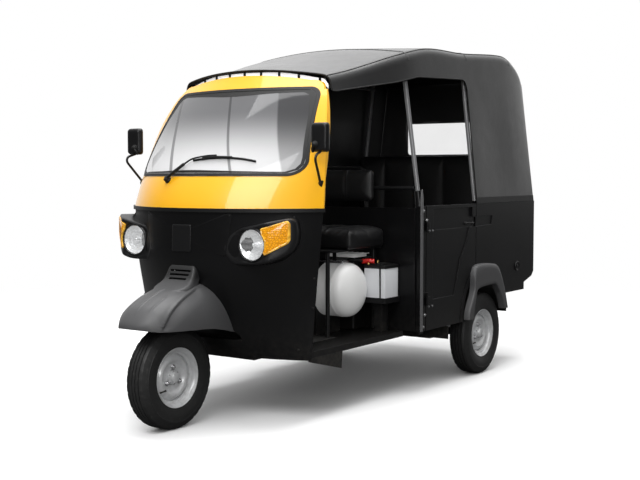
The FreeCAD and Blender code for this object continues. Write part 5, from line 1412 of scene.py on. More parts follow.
@dataclass
class Mirrors(Assembly):
    """Mirror heads with their glasses and ball joints; the levels are insets and distances behind the head's front."""

    inner: float = 541
    corner: float = 19
    socket: Flat = (569, 1322)
    levels: Tuple[Flat, ...] = ((2.5, 34), (0, 32), (0, 22), (1.5, 12), (5, 5.5), (11, 2), (20, 0.6))

    def build(self) -> None:
        """Build the heads, glasses and joints."""
        low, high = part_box("mirror_heads")
        inner = self.inner / 1000
        corners = [(inner, low.z), (high.x, low.z), (high.x, high.z), (inner, high.z)]
        outline = rounded_outline(corners, self.corner / 1000, 8)
        middle = ((inner + high.x) / 2, (low.z + high.z) / 2)

        def row(y: float, inset: float, share: float = 1.0) -> Row:
            """Outline drawn in, at a place along the vehicle."""
            return [Vector((x, y, z)) for x, z in drawn_in(outline, middle, inset / 1000, share)]

        rows = [row(low.y + ahead / 1000, inset) for inset, ahead in self.levels]
        rows += [row(low.y, 0, share) for share in (0.6, 0.3, 0.02)]
        heads = Form().grid(rows, close_columns=True, caps=(0, -1)).both()
        face = ((0.93, -4), (0.93, 0.6), (0.90, 1.6), (0.7, 2.6), (0.4, 3.2), (0.02, 3.4))
        rows = [row(high.y + lift / 1000, 0, share) for share, lift in face]
        glass = Form().grid(rows, close_columns=True, caps=(-1,)).both()
        place = Vector((self.socket[0] / 1000, low.y + 0.002, self.socket[1] / 1000))
        joints = Form().turned([(0, 17), (6, 16), (8, 12), (11, 12.5), (15, 10), (18, 5), (19, 0)], place, -BACK, 28)
        joints.tube(path_from(place, (0, -10, 0), (-12, -8, -18), (-16, 4, -34)), 6.2)
        heads.piece("mirror_shells", Finish.POD, "moulding", replaces=("mirror_heads",), sharp=50)
        glass.piece("mirror_glasses", Finish.MIRROR, "lamp_glass", sharp=40)
        joints.both().piece("mirror_joints", Finish.RUBBER, "moulding", sharp=40)

    def dress(self) -> None:
        """Finish the arms."""
        finish_nodes(Finish.TRIM, "mirror_arms")


# Cushions

@dataclass(frozen=True)
class Cushion:
    """Padded part in a CAD node's box, with sewn channels at shares of its width.

    The heights of crown and groove and the most that the cloth moves are in metres.
    """

    node: str
    face: Axis
    face_sign: int
    channels: Tuple[float, ...]
    cell: float = 9.0
    crown: float = 0.012
    groove: float = 0.007
    pressure: float = 4.0
    frames: int = 20
    most: float = 0.014

    def build(self) -> None:
        low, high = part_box(self.node)
        piece = Form().box(low, high).piece(f"{self.node}_cushion", Finish.SEAT, "seat_vinyl", replaces=(self.node,),
                                            bevel=20, sharp=60)
        remesh = piece.modifiers.new("even", "REMESH")
        remesh.mode = "VOXEL"
        remesh.voxel_size = self.cell / 1000
        apply_modifiers(piece)
        self.shape(piece, low, high)
        self.inflate(piece)
        soft = piece.modifiers.new("rounds", "SUBSURF")
        soft.levels = soft.render_levels = 1
        apply_modifiers(piece)
        piece.data.shade_smooth()
        piece.data.materials.clear()
        piece.data.materials.append(material(Finish.SEAT))
        LOG.info("%s: %d faces", piece.name, len(piece.data.polygons))

    def shape(self, piece: bpy.types.Object, low: Vector, high: Vector) -> None:
        """Crown the face, press the channels in and mark what the cloth may not move.

        Args:
            piece: The cushion.
            low: Lower corner of its box.
            high: Upper corner of its box.
        """
        index = self.face.value
        others = [i for i in range(3) if i != index]
        lines = [low.x + (high.x - low.x) * share for share in self.channels]
        group = piece.vertex_groups.new(name="held")
        for vertex in piece.data.vertices:
            spot = vertex.co
            height = (spot[index] - low[index]) / (high[index] - low[index])
            height = height if self.face_sign > 0 else 1 - height
            edge = min(min(spot[i] - low[i], high[i] - spot[i]) for i in others)
            pressed = max(1 - ease(abs(spot.x - line), 0.0, 0.011) for line in lines)
            drop = self.crown * (1 - ease(edge, 0.0, 0.05)) * ease(height, 0.4, 1.0)
            drop += pressed * self.groove * ease(height, 0.35, 0.9)
            spot[index] -= self.face_sign * drop
            held = 1.0 if pressed > 0.6 and height > 0.5 or height < 0.3 else 0.0
            group.add([vertex.index], held, "REPLACE")

    def inflate(self, piece: bpy.types.Object) -> None:
        """Let cloth under pressure settle over the padding, and cap how far it moves.

        Args:
            piece: The cushion.
        """
        before = [v.co.copy() for v in piece.data.vertices]
        cloth = piece.modifiers.new("cloth", "CLOTH")
        settings = cloth.settings
        settings.quality = 4
        settings.mass = 0.25
        settings.tension_stiffness = settings.compression_stiffness = 14
        settings.shear_stiffness = 6
        settings.bending_stiffness = 0.4
        settings.use_pressure = True
        settings.uniform_pressure_force = self.pressure
        settings.effector_weights.gravity = 0
        settings.vertex_group_mass = "held"
        scene = bpy.context.scene
        for step in range(1, self.frames + 1):
            scene.frame_set(step)
        graph = bpy.context.evaluated_depsgraph_get()
        settled = [v.co.copy() for v in piece.evaluated_get(graph).data.vertices]
        piece.modifiers.remove(cloth)
        scene.frame_set(1)
        for vertex, old, new in zip(piece.data.vertices, before, settled):
            move = new - old
            vertex.co = old + (move * (self.most / move.length) if move.length > self.most else move)


@dataclass
class Cab(Assembly):
    """Driver's seat, dashboard, gas cylinder, battery, tank, floor mat and brake pedal."""

    cylinder_centre: Flat = (985, 583)
    cylinder_end: float = 420
    cylinder_radius: float = 141
    dome: float = 78
    dome_fullness: float = 2.35

    def battery(self) -> None:
        """Battery with ribbed case, lid, plugs, terminals, strap and cables."""
        low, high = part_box("battery")
        top, side = Vector((low.x, low.y, high.z)), Vector((high.x, low.y, high.z))
        case, plugs, brass = Form().box(low, high + by(0, 0, -18)), Form(), Form()
        for y in [low.y + 0.012 + (high.y - low.y - 0.024) * k / 8 for k in range(9)]:
            case.box(Vector((low.x, y, low.z)) + by(-1.5, -3, 20), Vector((high.x, y, high.z)) + by(1.5, 3, -30))
        lid = Form().box(top + by(-3, -3, -20), high + by(3, 3, -2)).box(top + by(28, 20, -3), high + by(-28, -20, 4))
        for y in [low.y + 0.032 + (high.y - low.y - 0.064) * k / 5 for k in range(6)]:
            spot = Vector(((low.x + high.x) / 2, y, high.z + 0.003))
            plugs.turned([(0, 7.5), (3, 7.5), (4, 6)], spot, UP, 14)
        near, far = top + by(14, 22, -2), Vector((low.x, high.y, high.z)) + by(14, -22, -2)
        for post in (near, far):
            brass.turned([(0, 9), (16, 8), (18, 6.5)], post, UP, 18)
        clamp = Form().tube(path_from(near, (-20, -30, 18), (0, 0, 20), (26, 16, 16)), 12.5, 14)
        cable = Form().tube(path_from(near, (-20, -30, 18), (-60, -60, 30), (-120, -50, 10), (-160, 20, -60)), 5.5)
        cable.tube(path_from(far, (0, 0, 14), (-30, 10, 30), (-80, -10, 20), (-130, -20, -80)), 5.5)
        strap = Form().box(Vector((high.x, low.y, low.z)) + by(-30, -6, 0), side + by(-22, -3, 0))
        strap.box(side + by(-30, -6, -3), high + by(-22, 4, 0))
        # The case's finish glows: painted light.
        case.piece("battery_case", Finish.CASE, "battery_case", replaces=("battery",), bevel=2)
        strap.piece("battery_strap", Finish.TRIM, "moulding", bevel=1)
        lid.piece("battery_lid", Finish.TRIM, "moulding", bevel=3)
        plugs.piece("battery_plugs", Finish.TRIM, "moulding", sharp=30)
        brass.piece("battery_posts", Finish.BRASS, "bright_steel", sharp=30)
        clamp.piece("battery_clamp", Finish.RED, "red_lens")
        cable.piece("battery_cables", Finish.RUBBER, "seal_rubber")

    def tank(self) -> None:
        """Pale ribbed lid on the petrol tank, with the strap over it."""
        low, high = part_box("petrol_tank")
        top = Vector((low.x, low.y, high.z))
        lid = Form().box(top + by(50, -3, -14), high + by(4, 3, 6))
        for k in range(6):
            rib = top + by(80 + 34 * k, 12, 4)
            lid.box(rib, Vector((rib.x, high.y, high.z)) + by(12, -12, 8.5))
        strap = Form().box(top + by(96, -6, -100), top + by(120, -2, 10))
        strap.box(top + by(96, -6, 8), Vector((low.x, high.y, high.z)) + by(120, 6, 12))
        # The lid's finish glows: painted light.
        lid.piece("tank_lid", Finish.WHITE, "tank_paint", bevel=3)
        strap.piece("tank_strap", Finish.TRIM, "moulding", bevel=1.2)

    def cylinder(self) -> None:
        """Shell with domed ends, valve, clip and pipe of the gas cylinder."""
        y, z = self.cylinder_centre
        radius, straight, bulge = self.cylinder_radius, self.cylinder_end - self.dome, 2 / self.dome_fullness
        profile = [(straight + self.dome * math.cos(t) ** bulge, radius * math.sin(t) ** bulge)
                   for t in [math.pi / 2 * k / 24 for k in range(25)]]
        seam = ((6, 0), (8, 1.2), (13, 1.2), (15, 0), (60, 0))
        profile += [(straight - inset, radius + lift) for inset, lift in seam]
        profile += [(-along, r) for along, r in reversed(profile)]
        shell = Form().turned(profile, at(0, y, z), LEFT, 96)
        # The shell's finish glows: painted light.
        shell.piece("gas_shell", Finish.WHITE, "cylinder_paint", replaces=("gas_cylinder",), sharp=40)
        clip = Form().box(at(120, y - 26, z + radius + 3), at(335, y + 26, z + radius + 9))
        clip.box(at(120, y - 29, z + radius - 4), at(335, y - 26, z + radius + 10))
        clip.piece("cylinder_clip", Finish.BRIGHT, "bright_steel", bevel=1.5)
        end = at(-self.cylinder_end - 2, y, z)
        neck = Form().turned([(-12, 26), (4, 24), (6, 16), (22, 15), (24, 19), (40, 19), (42, 10), (56, 9)], end,
                             -LEFT, 28)
        neck.turned([(0, 12), (20, 12), (22, 18), (30, 18), (31, 14)], end + by(-30, 0, 0), UP, 20)
        pipe = Form().tube(path_from(end, (-52, 0, 0), (-80, 20, -20), (-60, 80, -100), (0, 170, -170),
                                     (80, 240, -220)), 4, 8)
        neck.piece("cylinder_valve", Finish.BRASS, "bright_steel", sharp=30)
        pipe.piece("gas_pipe", Finish.BRIGHT, "bright_steel")

    def dashboard(self) -> None:
        """Instrument pod with its dial and needle, and the switches on the dashboard."""
        centre, face = at(0, 372, 1118), Vector((0, 0.82, 0.57)).normalized()
        pod = Form().turned([(-60, 70), (-10, 62), (10, 60), (14, 56), (14, 50), (4, 48), (4, 0)], centre, face, 40)
        dial = Form().turned([(5, 47), (6.5, 47), (6.6, 0)], centre, face, 40)
        dial.tube(path_from(centre + face * 0.009, (0, 0, 0), (22, -10, 16)), 1.1, 6)
        top, knobs = Surface("dashboard"), Form()
        for x in (-150, -115, 115, 150):
            spot, normal = top.hit(at(x, 430, 1400), Vector((0, -0.2, -1)))
            knobs.turned([(0, 11), (4, 11), (6, 8), (18, 7.5), (20, 6)], spot, normal, 18)
        pod.piece("instrument_pod", Finish.TRIM, "moulding", sharp=30)
        dial.piece("instrument_dial", Finish.PALE, "lamp_glass", sharp=30)
        knobs.piece("dash_switches", Finish.RUBBER, "moulding", sharp=30)

    def floor(self) -> None:
        """Ribbed mat and the brake pedal."""
        low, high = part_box("floor_pan")
        x1, y0, y1 = 0.36, low.y + 0.20, at(0, 860, 0).y
        rows = []
        for i in range(59):
            z = high.z + 0.0025 + (0.0018 if i % 2 else 0.0)
            rows.append([Vector((-x1 + 2 * x1 * k / 24, y0 + (y1 - y0) * i / 58, z)) for k in range(25)])
        piece = Form().grid(rows).piece("floor_mat", Finish.MAT, "seal_rubber", thickness=4, sharp=60)
        foot = at(-150, 560, 345)
        pedal = Form().tube(path_from(foot, (0, 0, 0), (0, 10, 70), (0, -30, 130)), 8, 12)
        pedal.slab(path_from(foot, (-32, -8, 119), (32, -8, 119), (32, -54, 157), (-32, -54, 157)), by(0, 6, 8))
        pedal.piece("brake_pedal", Finish.FRAME, "frame_paint", bevel=1.5)

    def build(self) -> None:
        """Build the cab's pieces."""
        Cushion("driver_seat", Axis.Z, 1, (0.2, 0.4, 0.6, 0.8)).build()
        Cushion("driver_backrest", Axis.Y, -1, (0.25, 0.5, 0.75)).build()
        self.battery()
        self.cylinder()
        self.tank()
        self.dashboard()
        self.floor()

    def dress(self) -> None:
        """Finish the cab's CAD nodes."""
        finish_nodes(Finish.TRIM, "dashboard")
        finish_nodes(Finish.FRAME, "seat_frame", "battery_tray", "cylinder_straps", "backrest_frame")
        finish_nodes(Finish.BLACK, "petrol_tank", "floor_pan", "partition")


# Rear body

@dataclass
class RearBody(Assembly):
    """Doors, sides, pillars, fenders, rear bench and rear panel.

    The pillar's strip is x and station from and to. Fender and opening are pairs of station and height. The liner is
    the station, height and radius of an arc, and its two angles in degrees.
    """

    strip: Tuple[float, ...] = (598, 609, 1305, 1325)
    strip_low: float = 345
    strip_high: float = 1045
    handle_station: float = 1905
    handle_height: float = 905
    fender: Tuple[Flat, ...] = ((1822, 352), (1836, 410), (1892, 510), (1902, 610), (1952, 658), (2136, 655),
                                (2222, 622), (2300, 490), (2346, 372))
    opening: Tuple[Flat, ...] = ((1870, 352), (1893, 440), (1905, 476), (1940, 524), (2120, 536), (2176, 528),
                                 (2226, 480), (2268, 420), (2290, 372))
    cap: Flat = (2540, 612)
    liner: Tuple[float, ...] = (2100, 242, 287, 22, 155)
    liner_depth: float = 445
    liner_low: float = 400
    lamp: Flat = (490, 800)
    back: float = 2800

    def pillars(self) -> None:
        """Pale strips on the pillars with their caps, and the hinge bolts."""
        x0, x1, y0, y1 = self.strip
        outline = [(x0, y0), (x1 - 2, y0), (x1, y0 + 3), (x1, y1 - 3), (x1 - 2, y1), (x0, y1)]
        middle = ((x0 + x1) / 2, (y0 + y1) / 2)
        levels = ((self.strip_low, 1), (self.strip_high, 1), (self.strip_high + 18, 0.9), (self.strip_high + 60, 0.35))
        rows = [[at(x, y, z) for x, y in drawn_in(outline, middle, 0, share)] for z, share in levels]
        strips = Form().grid(rows, close_columns=True, caps=(-1,)).both()
        strips.piece("pillar_strips", Finish.STRIP, "frame_paint", bevel=1.5, sharp=20)
        posts, bolts = Surface("pillar_posts"), Form()
        for side in (1, -1):
            for y, z in ((1340, 365), (1358, 430), (1340, 990), (1358, 940)):
                bolts.bolt(*posts.side(y, z, side), 5.5)
        bolts.piece("pillar_bolts", Finish.BRIGHT, "bright_steel", sharp=30)

    def doors(self) -> None:
        """Pull handles and hinge bolts of the doors."""
        for side, body, word in ((1, Body.DOOR_LEFT, "left"), (-1, Body.DOOR_RIGHT, "right")):
            skin, out = Surface(f"door_{word}"), LEFT * side
            handle, screws = Form(), Form()
            ends = [skin.side(self.handle_station + shift, self.handle_height, side)[0] for shift in (-55, 30)]
            handle.tube([ends[0] + out * -0.002, ends[0] + out * 0.012 + by(0, 8, 0),
                         ends[1] + out * 0.012 + by(0, -8, 0), ends[1] + out * -0.002], 5.5, 12)
            for end in ends:
                handle.turned([(-2, 13), (2, 12), (3, 10)], end, out, 18)
                screws.bolt(end + out * 0.002, out, 3)
            for y in (1400, 1440):
                for z in (470, 880):
                    screws.bolt(*skin.side(y, z, side), 5)
            handle.piece(f"door_handle_{word}", Finish.TRIM, "moulding", body, sharp=40)
            screws.piece(f"door_bolts_{word}", Finish.STRIP, "bright_steel", body, sharp=30)

    def fenders(self) -> None:
        """Moulded flares over the rear wheels with their liners, and the round cap behind the left one."""
        base, face = 598.0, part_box("rear_fenders")[1].x * 1000
        outer, inner = (smooth_path([at(0, y, z) for y, z in line], 5) for line in (self.fender, self.opening))
        levels = ((0, base), (0, face - 14), (0.03, face - 7), (0.10, face - 2.5), (0.22, face - 0.6),
                  (0.5, face - 1.5), (0.85, face - 0.4), (0.97, face), (1, face - 2), (1, base))
        rows = [[Vector((x / 1000, a.y + (b.y - a.y) * share, a.z + (b.z - a.z) * share))
                 for a, b in zip(outer, inner)] for share, x in levels]
        flares = Form().grid(rows).both()
        flares.piece("fender_flares", Finish.MOULDED, "moulding", replaces=("rear_fenders",), thickness=3, sharp=50)
        y, z, radius, start, end = self.liner
        last = len(inner) - 1
        turns = [math.radians(start + (end - start) * k / last) for k in range(last + 1)]
        arc = [(y - radius * math.cos(t), z + radius * math.sin(t)) for t in turns]
        rows = [[Vector((x, p.y, p.z)) for p in inner] for x in (face / 1000 - 0.003, 0.6)]
        rows += [[at(x, *pair) for pair in arc] for x in (599, self.liner_depth)]
        rows.append([at(self.liner_depth, station, min(height, self.liner_low)) for station, height in arc])
        Form().grid(rows).both().piece("wheel_liners", Finish.TRIM, "moulding", thickness=2.5, sharp=50)
        profile = [(-1, 31), (5, 31), (8, 27), (6, 22), (3, 20), (3, 12), (6, 9), (7, 0)]
        cap = Form().turned(profile, *Surface("body_sides").side(*self.cap), 40)
        cap.piece("side_cap", Finish.POD, "moulding", sharp=40)

    def bench(self) -> None:
        """Passenger bench cushions."""
        Cushion("rear_seat_cushion", Axis.Z, 1, (0.2, 0.4, 0.6, 0.8), 10.5).build()
        Cushion("rear_seat_backrest", Axis.Y, -1, (0.2, 0.4, 0.6, 0.8), 11.5).build()

    def rear(self) -> None:
        """Rear lamps, blank plate and louvres of the rear panel."""
        lamps, rims, louvres = Form(), Form(), Form()
        for side in (1, -1):
            centre = at(side * self.lamp[0], self.back, self.lamp[1])
            lamps.turned([(0, 46), (12, 46), (15, 43), (25.5, 40), (29, 34), (31, 20), (31.5, 0)], centre, BACK, 40)
            rims.turned([(0, 52), (6, 52), (9, 49), (9, 45), (0, 45)], centre, BACK, 40, True)
            for z in range(620, 774, 22):
                rows = []
                for share in (0.0, 0.35, 0.7, 1.0):
                    bulge = 9 * math.sin(math.pi * share * 0.8)
                    rows.append([at(side * (150 + 180 * i / 16), self.back + bulge * min(1, i / 2, 8 - i / 2),
                                    z + 13 * (1 - share)) for i in range(17)])
                louvres.grid(rows)
        lamps.piece("rear_lamps", Finish.TAIL, "red_lens", replaces=("tail_lamps",), sharp=40)
        rims.piece("rear_lamp_rims", Finish.TRIM, "moulding", sharp=40)
        outline = [at(x, self.back + 1, z) for x, z in rounded_outline(rectangle(170, 850, 940), 10)]
        Form().slab(outline, by(0, 3, 0)).piece("rear_plate", Finish.PALE, "yellow_paint", bevel=0.8)
        louvres.piece("rear_louvres", Finish.BLACK, "black_paint", thickness=1.5, sharp=60)

    def build(self) -> None:
        """Build the rear body's pieces."""
        self.pillars()
        self.doors()
        self.fenders()
        self.bench()
        self.rear()

    def dress(self) -> None:
        """Finish the rear body's CAD nodes."""
        finish_nodes(Finish.BLACK, "body_sides", "door_left", "door_right", "pillar_posts", "passenger_floor",
                     "rear_panel")


# Hood

@dataclass
class Hood(Assembly):
    """Sewn hood: one sheet from the screen header over the bows to the rear wall, with its window.

    A section's row is its station, half width at the bottom and at the roof's edge, height of that edge and of the
    crown, and corner radius. The opening is pairs of station and height, and the window its half width and heights.
    """

    sections: Tuple[Tuple[float, ...], ...] = (
        (520, 592, 448, 1636, 1692, 31.5), (820, 594, 462, 1698, 1758, 36), (1275, 598, 505, 1820, 1866, 45),
        (1575, 600, 507, 1878, 1902, 45), (1975, 600, 509, 1888, 1910, 45), (2500, 600, 509, 1920, 1940, 45),
        (2635, 600, 509, 1894, 1914, 45), (2740, 600, 507, 1841, 1861, 45), (2800, 600, 505, 1768, 1783, 36))
    low: float = 1015.3
    opening: Tuple[Flat, ...] = ((500, 1590), (693, 1590), (1196, 1666), (1406, 1708), (1915, 1731), (1945, 1725),
                                 (1963, 1706), (1975, 1671))
    joint: float = 1671
    rear_edge: float = 1975
    nose: float = 560
    hem: float = 663
    hem_half: float = 468
    bows: Tuple[float, ...] = (700, 1326, 1995, 2586)
    sag: float = 5.0
    window: Point = (340, 1315, 1533)
    gauge: float = 3
    window_middle: float = 1424
    front: float = 520
    bow_end: float = 820
    back: float = 2800

    def section(self, station: float) -> Tuple[float, ...]:
        """Bottom half width, side half width, edge, crown and corner at a station."""
        tables = [[(row[0], row[i]) for row in self.sections] for i in range(1, 6)]
        return tuple(curve_through(table, station) for table in tables)

    def sagging(self, station: float) -> float:
        """Share of the sag between two bows, from 0 at a bow to 1 midway."""
        span = next(((a, b) for a, b in zip(self.bows, self.bows[1:]) if a < station < b), None)
        return math.sin(math.pi * (station - span[0]) / (span[1] - span[0])) ** 2 if span else 0.0

    def upper(self, station: float, bottom: float) -> List[Flat]:
        """Half section from a height on the side up to the crown.

        Args:
            station: Where the section is taken.
            bottom: Height at which it starts.

        Returns:
            Pairs of x and height.
        """
        half, side, edge, crown, corner = self.section(station)
        lean = (side - half) / (edge - self.low)
        top_x, top_z = side - lean * corner, edge - corner
        start_x = half + lean * (bottom - self.low)
        inner, rise = side - corner, edge + 0.16 * (crown - edge)
        points = [(start_x + (top_x - start_x) * k / 6, bottom + (top_z - bottom) * k / 6) for k in range(6)]
        for t in [k / 6 for k in range(7)]:
            points.append((top_x * (1 - t) ** 2 + side * 2 * t * (1 - t) + inner * t * t,
                           top_z * (1 - t) ** 2 + (edge + 2) * 2 * t * (1 - t) + rise * t * t))
        for t in [k / 20 for k in range(1, 21)]:
            drop = self.sagging(station) * self.sag * math.sin(math.pi * min(t * 1.2, 1.0) * 0.5)
            points.append((inner * (1 - t), rise + (crown - rise) * (1 - (1 - t) ** 2) - drop))
        return points

    def bowed(self, station: float, x: float) -> float:
        """Station moved back towards the sides near the front hem.

        Args:
            station: Station on the centre plane.
            x: Place across the vehicle.

        Returns:
            The station there.
        """
        if station >= self.bow_end:
            return station
        hem = self.nose + (self.hem - self.nose) * min(abs(x) / self.hem_half, 1.08) ** 2
        return hem + (station - self.front) / (self.bow_end - self.front) * (self.bow_end - hem)

    def bottom(self, station: float) -> float:
        """Height of the sheet's edge beside the roof.

        Args:
            station: Where it is taken.

        Returns:
            The height.
        """
        if station >= self.rear_edge:
            return self.joint
        for (y0, z0), (y1, z1) in zip(self.opening, self.opening[1:]):
            if y0 <= station <= y1:
                return z0 + (z1 - z0) * (station - y0) / (y1 - y0)
        return self.opening[0][1]

    def stations(self) -> List[float]:
        """Stations of the rows of the roof.

        Returns:
            The stations, from the front hem to the rear wall.
        """
        rows = [520 + 30 * k for k in range(10)] + [820 + 1095 * k / 44 for k in range(44)]
        rows += [1915, 1930, 1945, 1954, 1963, 1970, 1975]
        return rows + [1975 + 765 * k / 32 for k in range(1, 33)] + [2752, 2764, 2774, 2782, 2788]

    def row(self, station: float) -> Row:
        """One row of the roof, from its left edge over the crown to its right edge.

        Args:
            station: Station on the centre plane.

        Returns:
            Its points.
        """
        left = []
        for index, (x, z) in enumerate(self.upper(station, self.bottom(station))):
            real = self.bowed(station, x)
            if station < self.bow_end:
                x, z = self.upper(real, self.bottom(real))[index]
            left.append(at(x, real, z))
        return left + mirrored(reversed(left[:-1]))

    def side_rows(self, side: int) -> List[Row]:
        """Rows of the quarter panel below the roof's edge.

        Args:
            side: 1 for the vehicle's left, -1 for its right.

        Returns:
            One row down the panel at each station.
        """
        rows = []
        for station in [y for y in self.stations() if y >= self.rear_edge]:
            row = []
            for k in range(19):
                z = self.joint + (self.low - self.joint) * k / 18
                inward = 4 * self.sagging(station) * math.sin(math.pi * k / 18)
                row.append(at(side * (self.side_at(station, z) - inward), station, z))
            rows.append(row)
        return rows

    def wall(self, roof_row: Row) -> Form:
        """Rear wall from the last section, round its corner, to the window's opening.

        Args:
            roof_row: Last row of the roof.

        Returns:
            The form.
        """
        last, half = self.stations()[-1], self.section(self.stations()[-1])[0]
        down = [at(self.side_at(last, z), last, z)
                for z in [self.joint + (self.low - self.joint) * k / 18 for k in range(1, 19)]]
        base = [at(half - 2 * half * k / 30, last, self.low) for k in range(1, 30)]
        outer = mirrored(reversed(down)) + list(reversed(roof_row)) + down + base
        middle = at(0, self.back, self.window_middle)
        hole = [(x, z - self.window_middle) for x, z in self.window_outline()]
        rows = [outer]
        for inset, station in ((1.5, 2793), (4, 2797), (9, 2799.5), (18, self.back)):
            rows.append([self.inward(p, middle, inset, station) for p in outer])
        border = rows[-1]
        turns = [math.atan2(p.z - middle.z, p.x) for p in border]
        targets = [middle + by(math.cos(t), 0, math.sin(t)) * reach_to(hole, t) for t in turns]
        for share in (0.15, 0.3, 0.45, 0.6, 0.75, 0.9, 1.0):
            rows.append([p + (target - p) * share for p, target in zip(border, targets)])
        return Form().grid(rows, close_columns=True)

    def inward(self, point: Vector, middle: Vector, inset: float, station: float) -> Vector:
        """Point of the wall's border moved towards the middle.

        Args:
            point: The point.
            middle: Middle of the window.
            inset: How far it moves.
            station: Station at which it ends.

        Returns:
            The new point; one on the lower edge keeps its height.
        """
        flat = Vector((point.x, 0, point.z - middle.z))
        keep = 1 - inset / 1000 / max(flat.length, 0.05)
        z = point.z if abs(point.z * 1000 - self.low) < 1.0 else middle.z + flat.z * keep
        return Vector((flat.x * keep, at(0, station, 0).y, z))

    def build(self) -> None:
        """Build the hood, its piping and its window."""
        roof = [self.row(y) for y in self.stations()]
        form = Form().grid(roof).grid(self.side_rows(1)).grid(self.side_rows(-1)).join(self.wall(roof[-1]))
        piece = form.piece("hood_sheet", Finish.CANVAS, "vinyl", replaces=("hood_canopy",), sharp=70)
        solid = piece.modifiers.new("gauge", "SOLIDIFY")
        solid.thickness, solid.offset = self.gauge / 1000, -1.0
        apply_modifiers(piece)
        piece.data.set_sharp_from_angle(angle=math.radians(70))
        self.piping(roof)
        self.rear_pane()

    def piping(self, roof: List[Row]) -> None:
        """Bound edges of the hood and the welts over its seams.

        Args:
            roof: Rows of the roof.
        """
        welts, hem, edges = Form(), Form(), Form().tube(roof[0], 4.5, 8, 1)
        rear = next(i for i, y in enumerate(self.stations()) if y >= self.rear_edge)
        for side, column, seam in ((1, 0, 10), (-1, -1, -11)):
            rows = self.side_rows(side)
            edges.tube([row[column] for row in roof[:rear + 1]] + rows[0], 3.8, 8, 1)
            welts.tube([row[seam] + by(0, 0, 1) for row in roof], 2.8, 8, 1)
            hem.grid([[p + by(side * 1.2, 0, 0) for p in row[-2:]] for row in rows])
        for station in self.bows[1:]:
            welts.tube([p + by(0, 0, 0.8) for p in self.row(station)[6:-6]], 2.2, 8, 1)
        edges.piece("hood_edging", Finish.TRIM, "vinyl")
        welts.piece("hood_welts", Finish.CANVAS, "vinyl")
        hem.piece("hood_hem", Finish.TRIM, "vinyl", thickness=2)

    def rear_pane(self) -> None:
        """Clear pane in the rear wall with its sewn border."""
        half, z0, z1 = self.window
        rows = [[at((half + 12) * (i / 10 - 1), 2797 + 1.6 * math.sin(i * 0.9 + k * 0.5),
                    z0 - 12 + (z1 - z0 + 24) * k / 12) for i in range(21)] for k in range(13)]
        sheet = Form().grid(rows).piece("rear_pane", Finish.WINDOW, "clear_sheet", replaces=("rear_window",),
                                        thickness=0.8)
        border = Form().tube([at(x, self.back + 1.5, z) for x, z in self.window_outline()], 4, 8, 1, True)
        border.piece("window_border", Finish.TRIM, "vinyl")

    def dress(self) -> None:
        """Finish the bows."""
        finish_nodes(Finish.TUBE, "hood_frame")

    def side_at(self, station: float, z: float) -> float:
        """Half width of the quarter panel at a station and height."""
        half, side, edge, _, _ = self.section(station)
        return half + (side - half) / (edge - self.low) * (z - self.low)

    def window_outline(self) -> List[Flat]:
        """Outline of the window's opening."""
        return rounded_outline(rectangle(*self.window), 30, 8)


# Underside

@dataclass
class Underside(Assembly):
    """Chassis, engine block with its fins, rear suspension."""

    def build(self) -> None:
        """Build the fins and springs."""
        low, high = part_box("engine_block")
        fins, springs = Form(), Form()
        for z in [low.z + 0.15 + 0.018 * k for k in range(9)]:
            fins.box(Vector((low.x, low.y, z)) + by(-12, 50, 0), Vector((high.x, high.y, z)) + by(12, -80, 5))
        fins.piece("engine_fins", Finish.CAST, "castings", bevel=1.5)
        for side in (1, -1):
            springs.join(coil(at(side * 435, 2128, 300), at(side * 420, 2066, 600), 29, 5.2, 8))
        springs.piece("rear_springs", Finish.STRIP, "frame_paint")

    def dress(self) -> None:
        """Finish the chassis, arms, dampers and engine."""
        finish_nodes(Finish.FRAME, "chassis_frame", "swing_arms", "rear_dampers")
        finish_nodes(Finish.CAST, "engine_block")


# Studio

@dataclass(frozen=True)
class CameraFit:
    """Camera found from the photograph: place in mm, angles in radians, focal length and offsets in pixels."""

    cx: float = 3398.09927383068
    cy: float = -3705.208992536496
    cz: float = 1183.1407464202775
    turn: float = 0.6023686907396612
    rise: float = 0.060634514035983585
    focal: float = 1076.970666526973
    px: float = 0.039534232412153814
    py: float = -0.01078198524465594
    width: float = 640.0
    sensor: float = 36.0


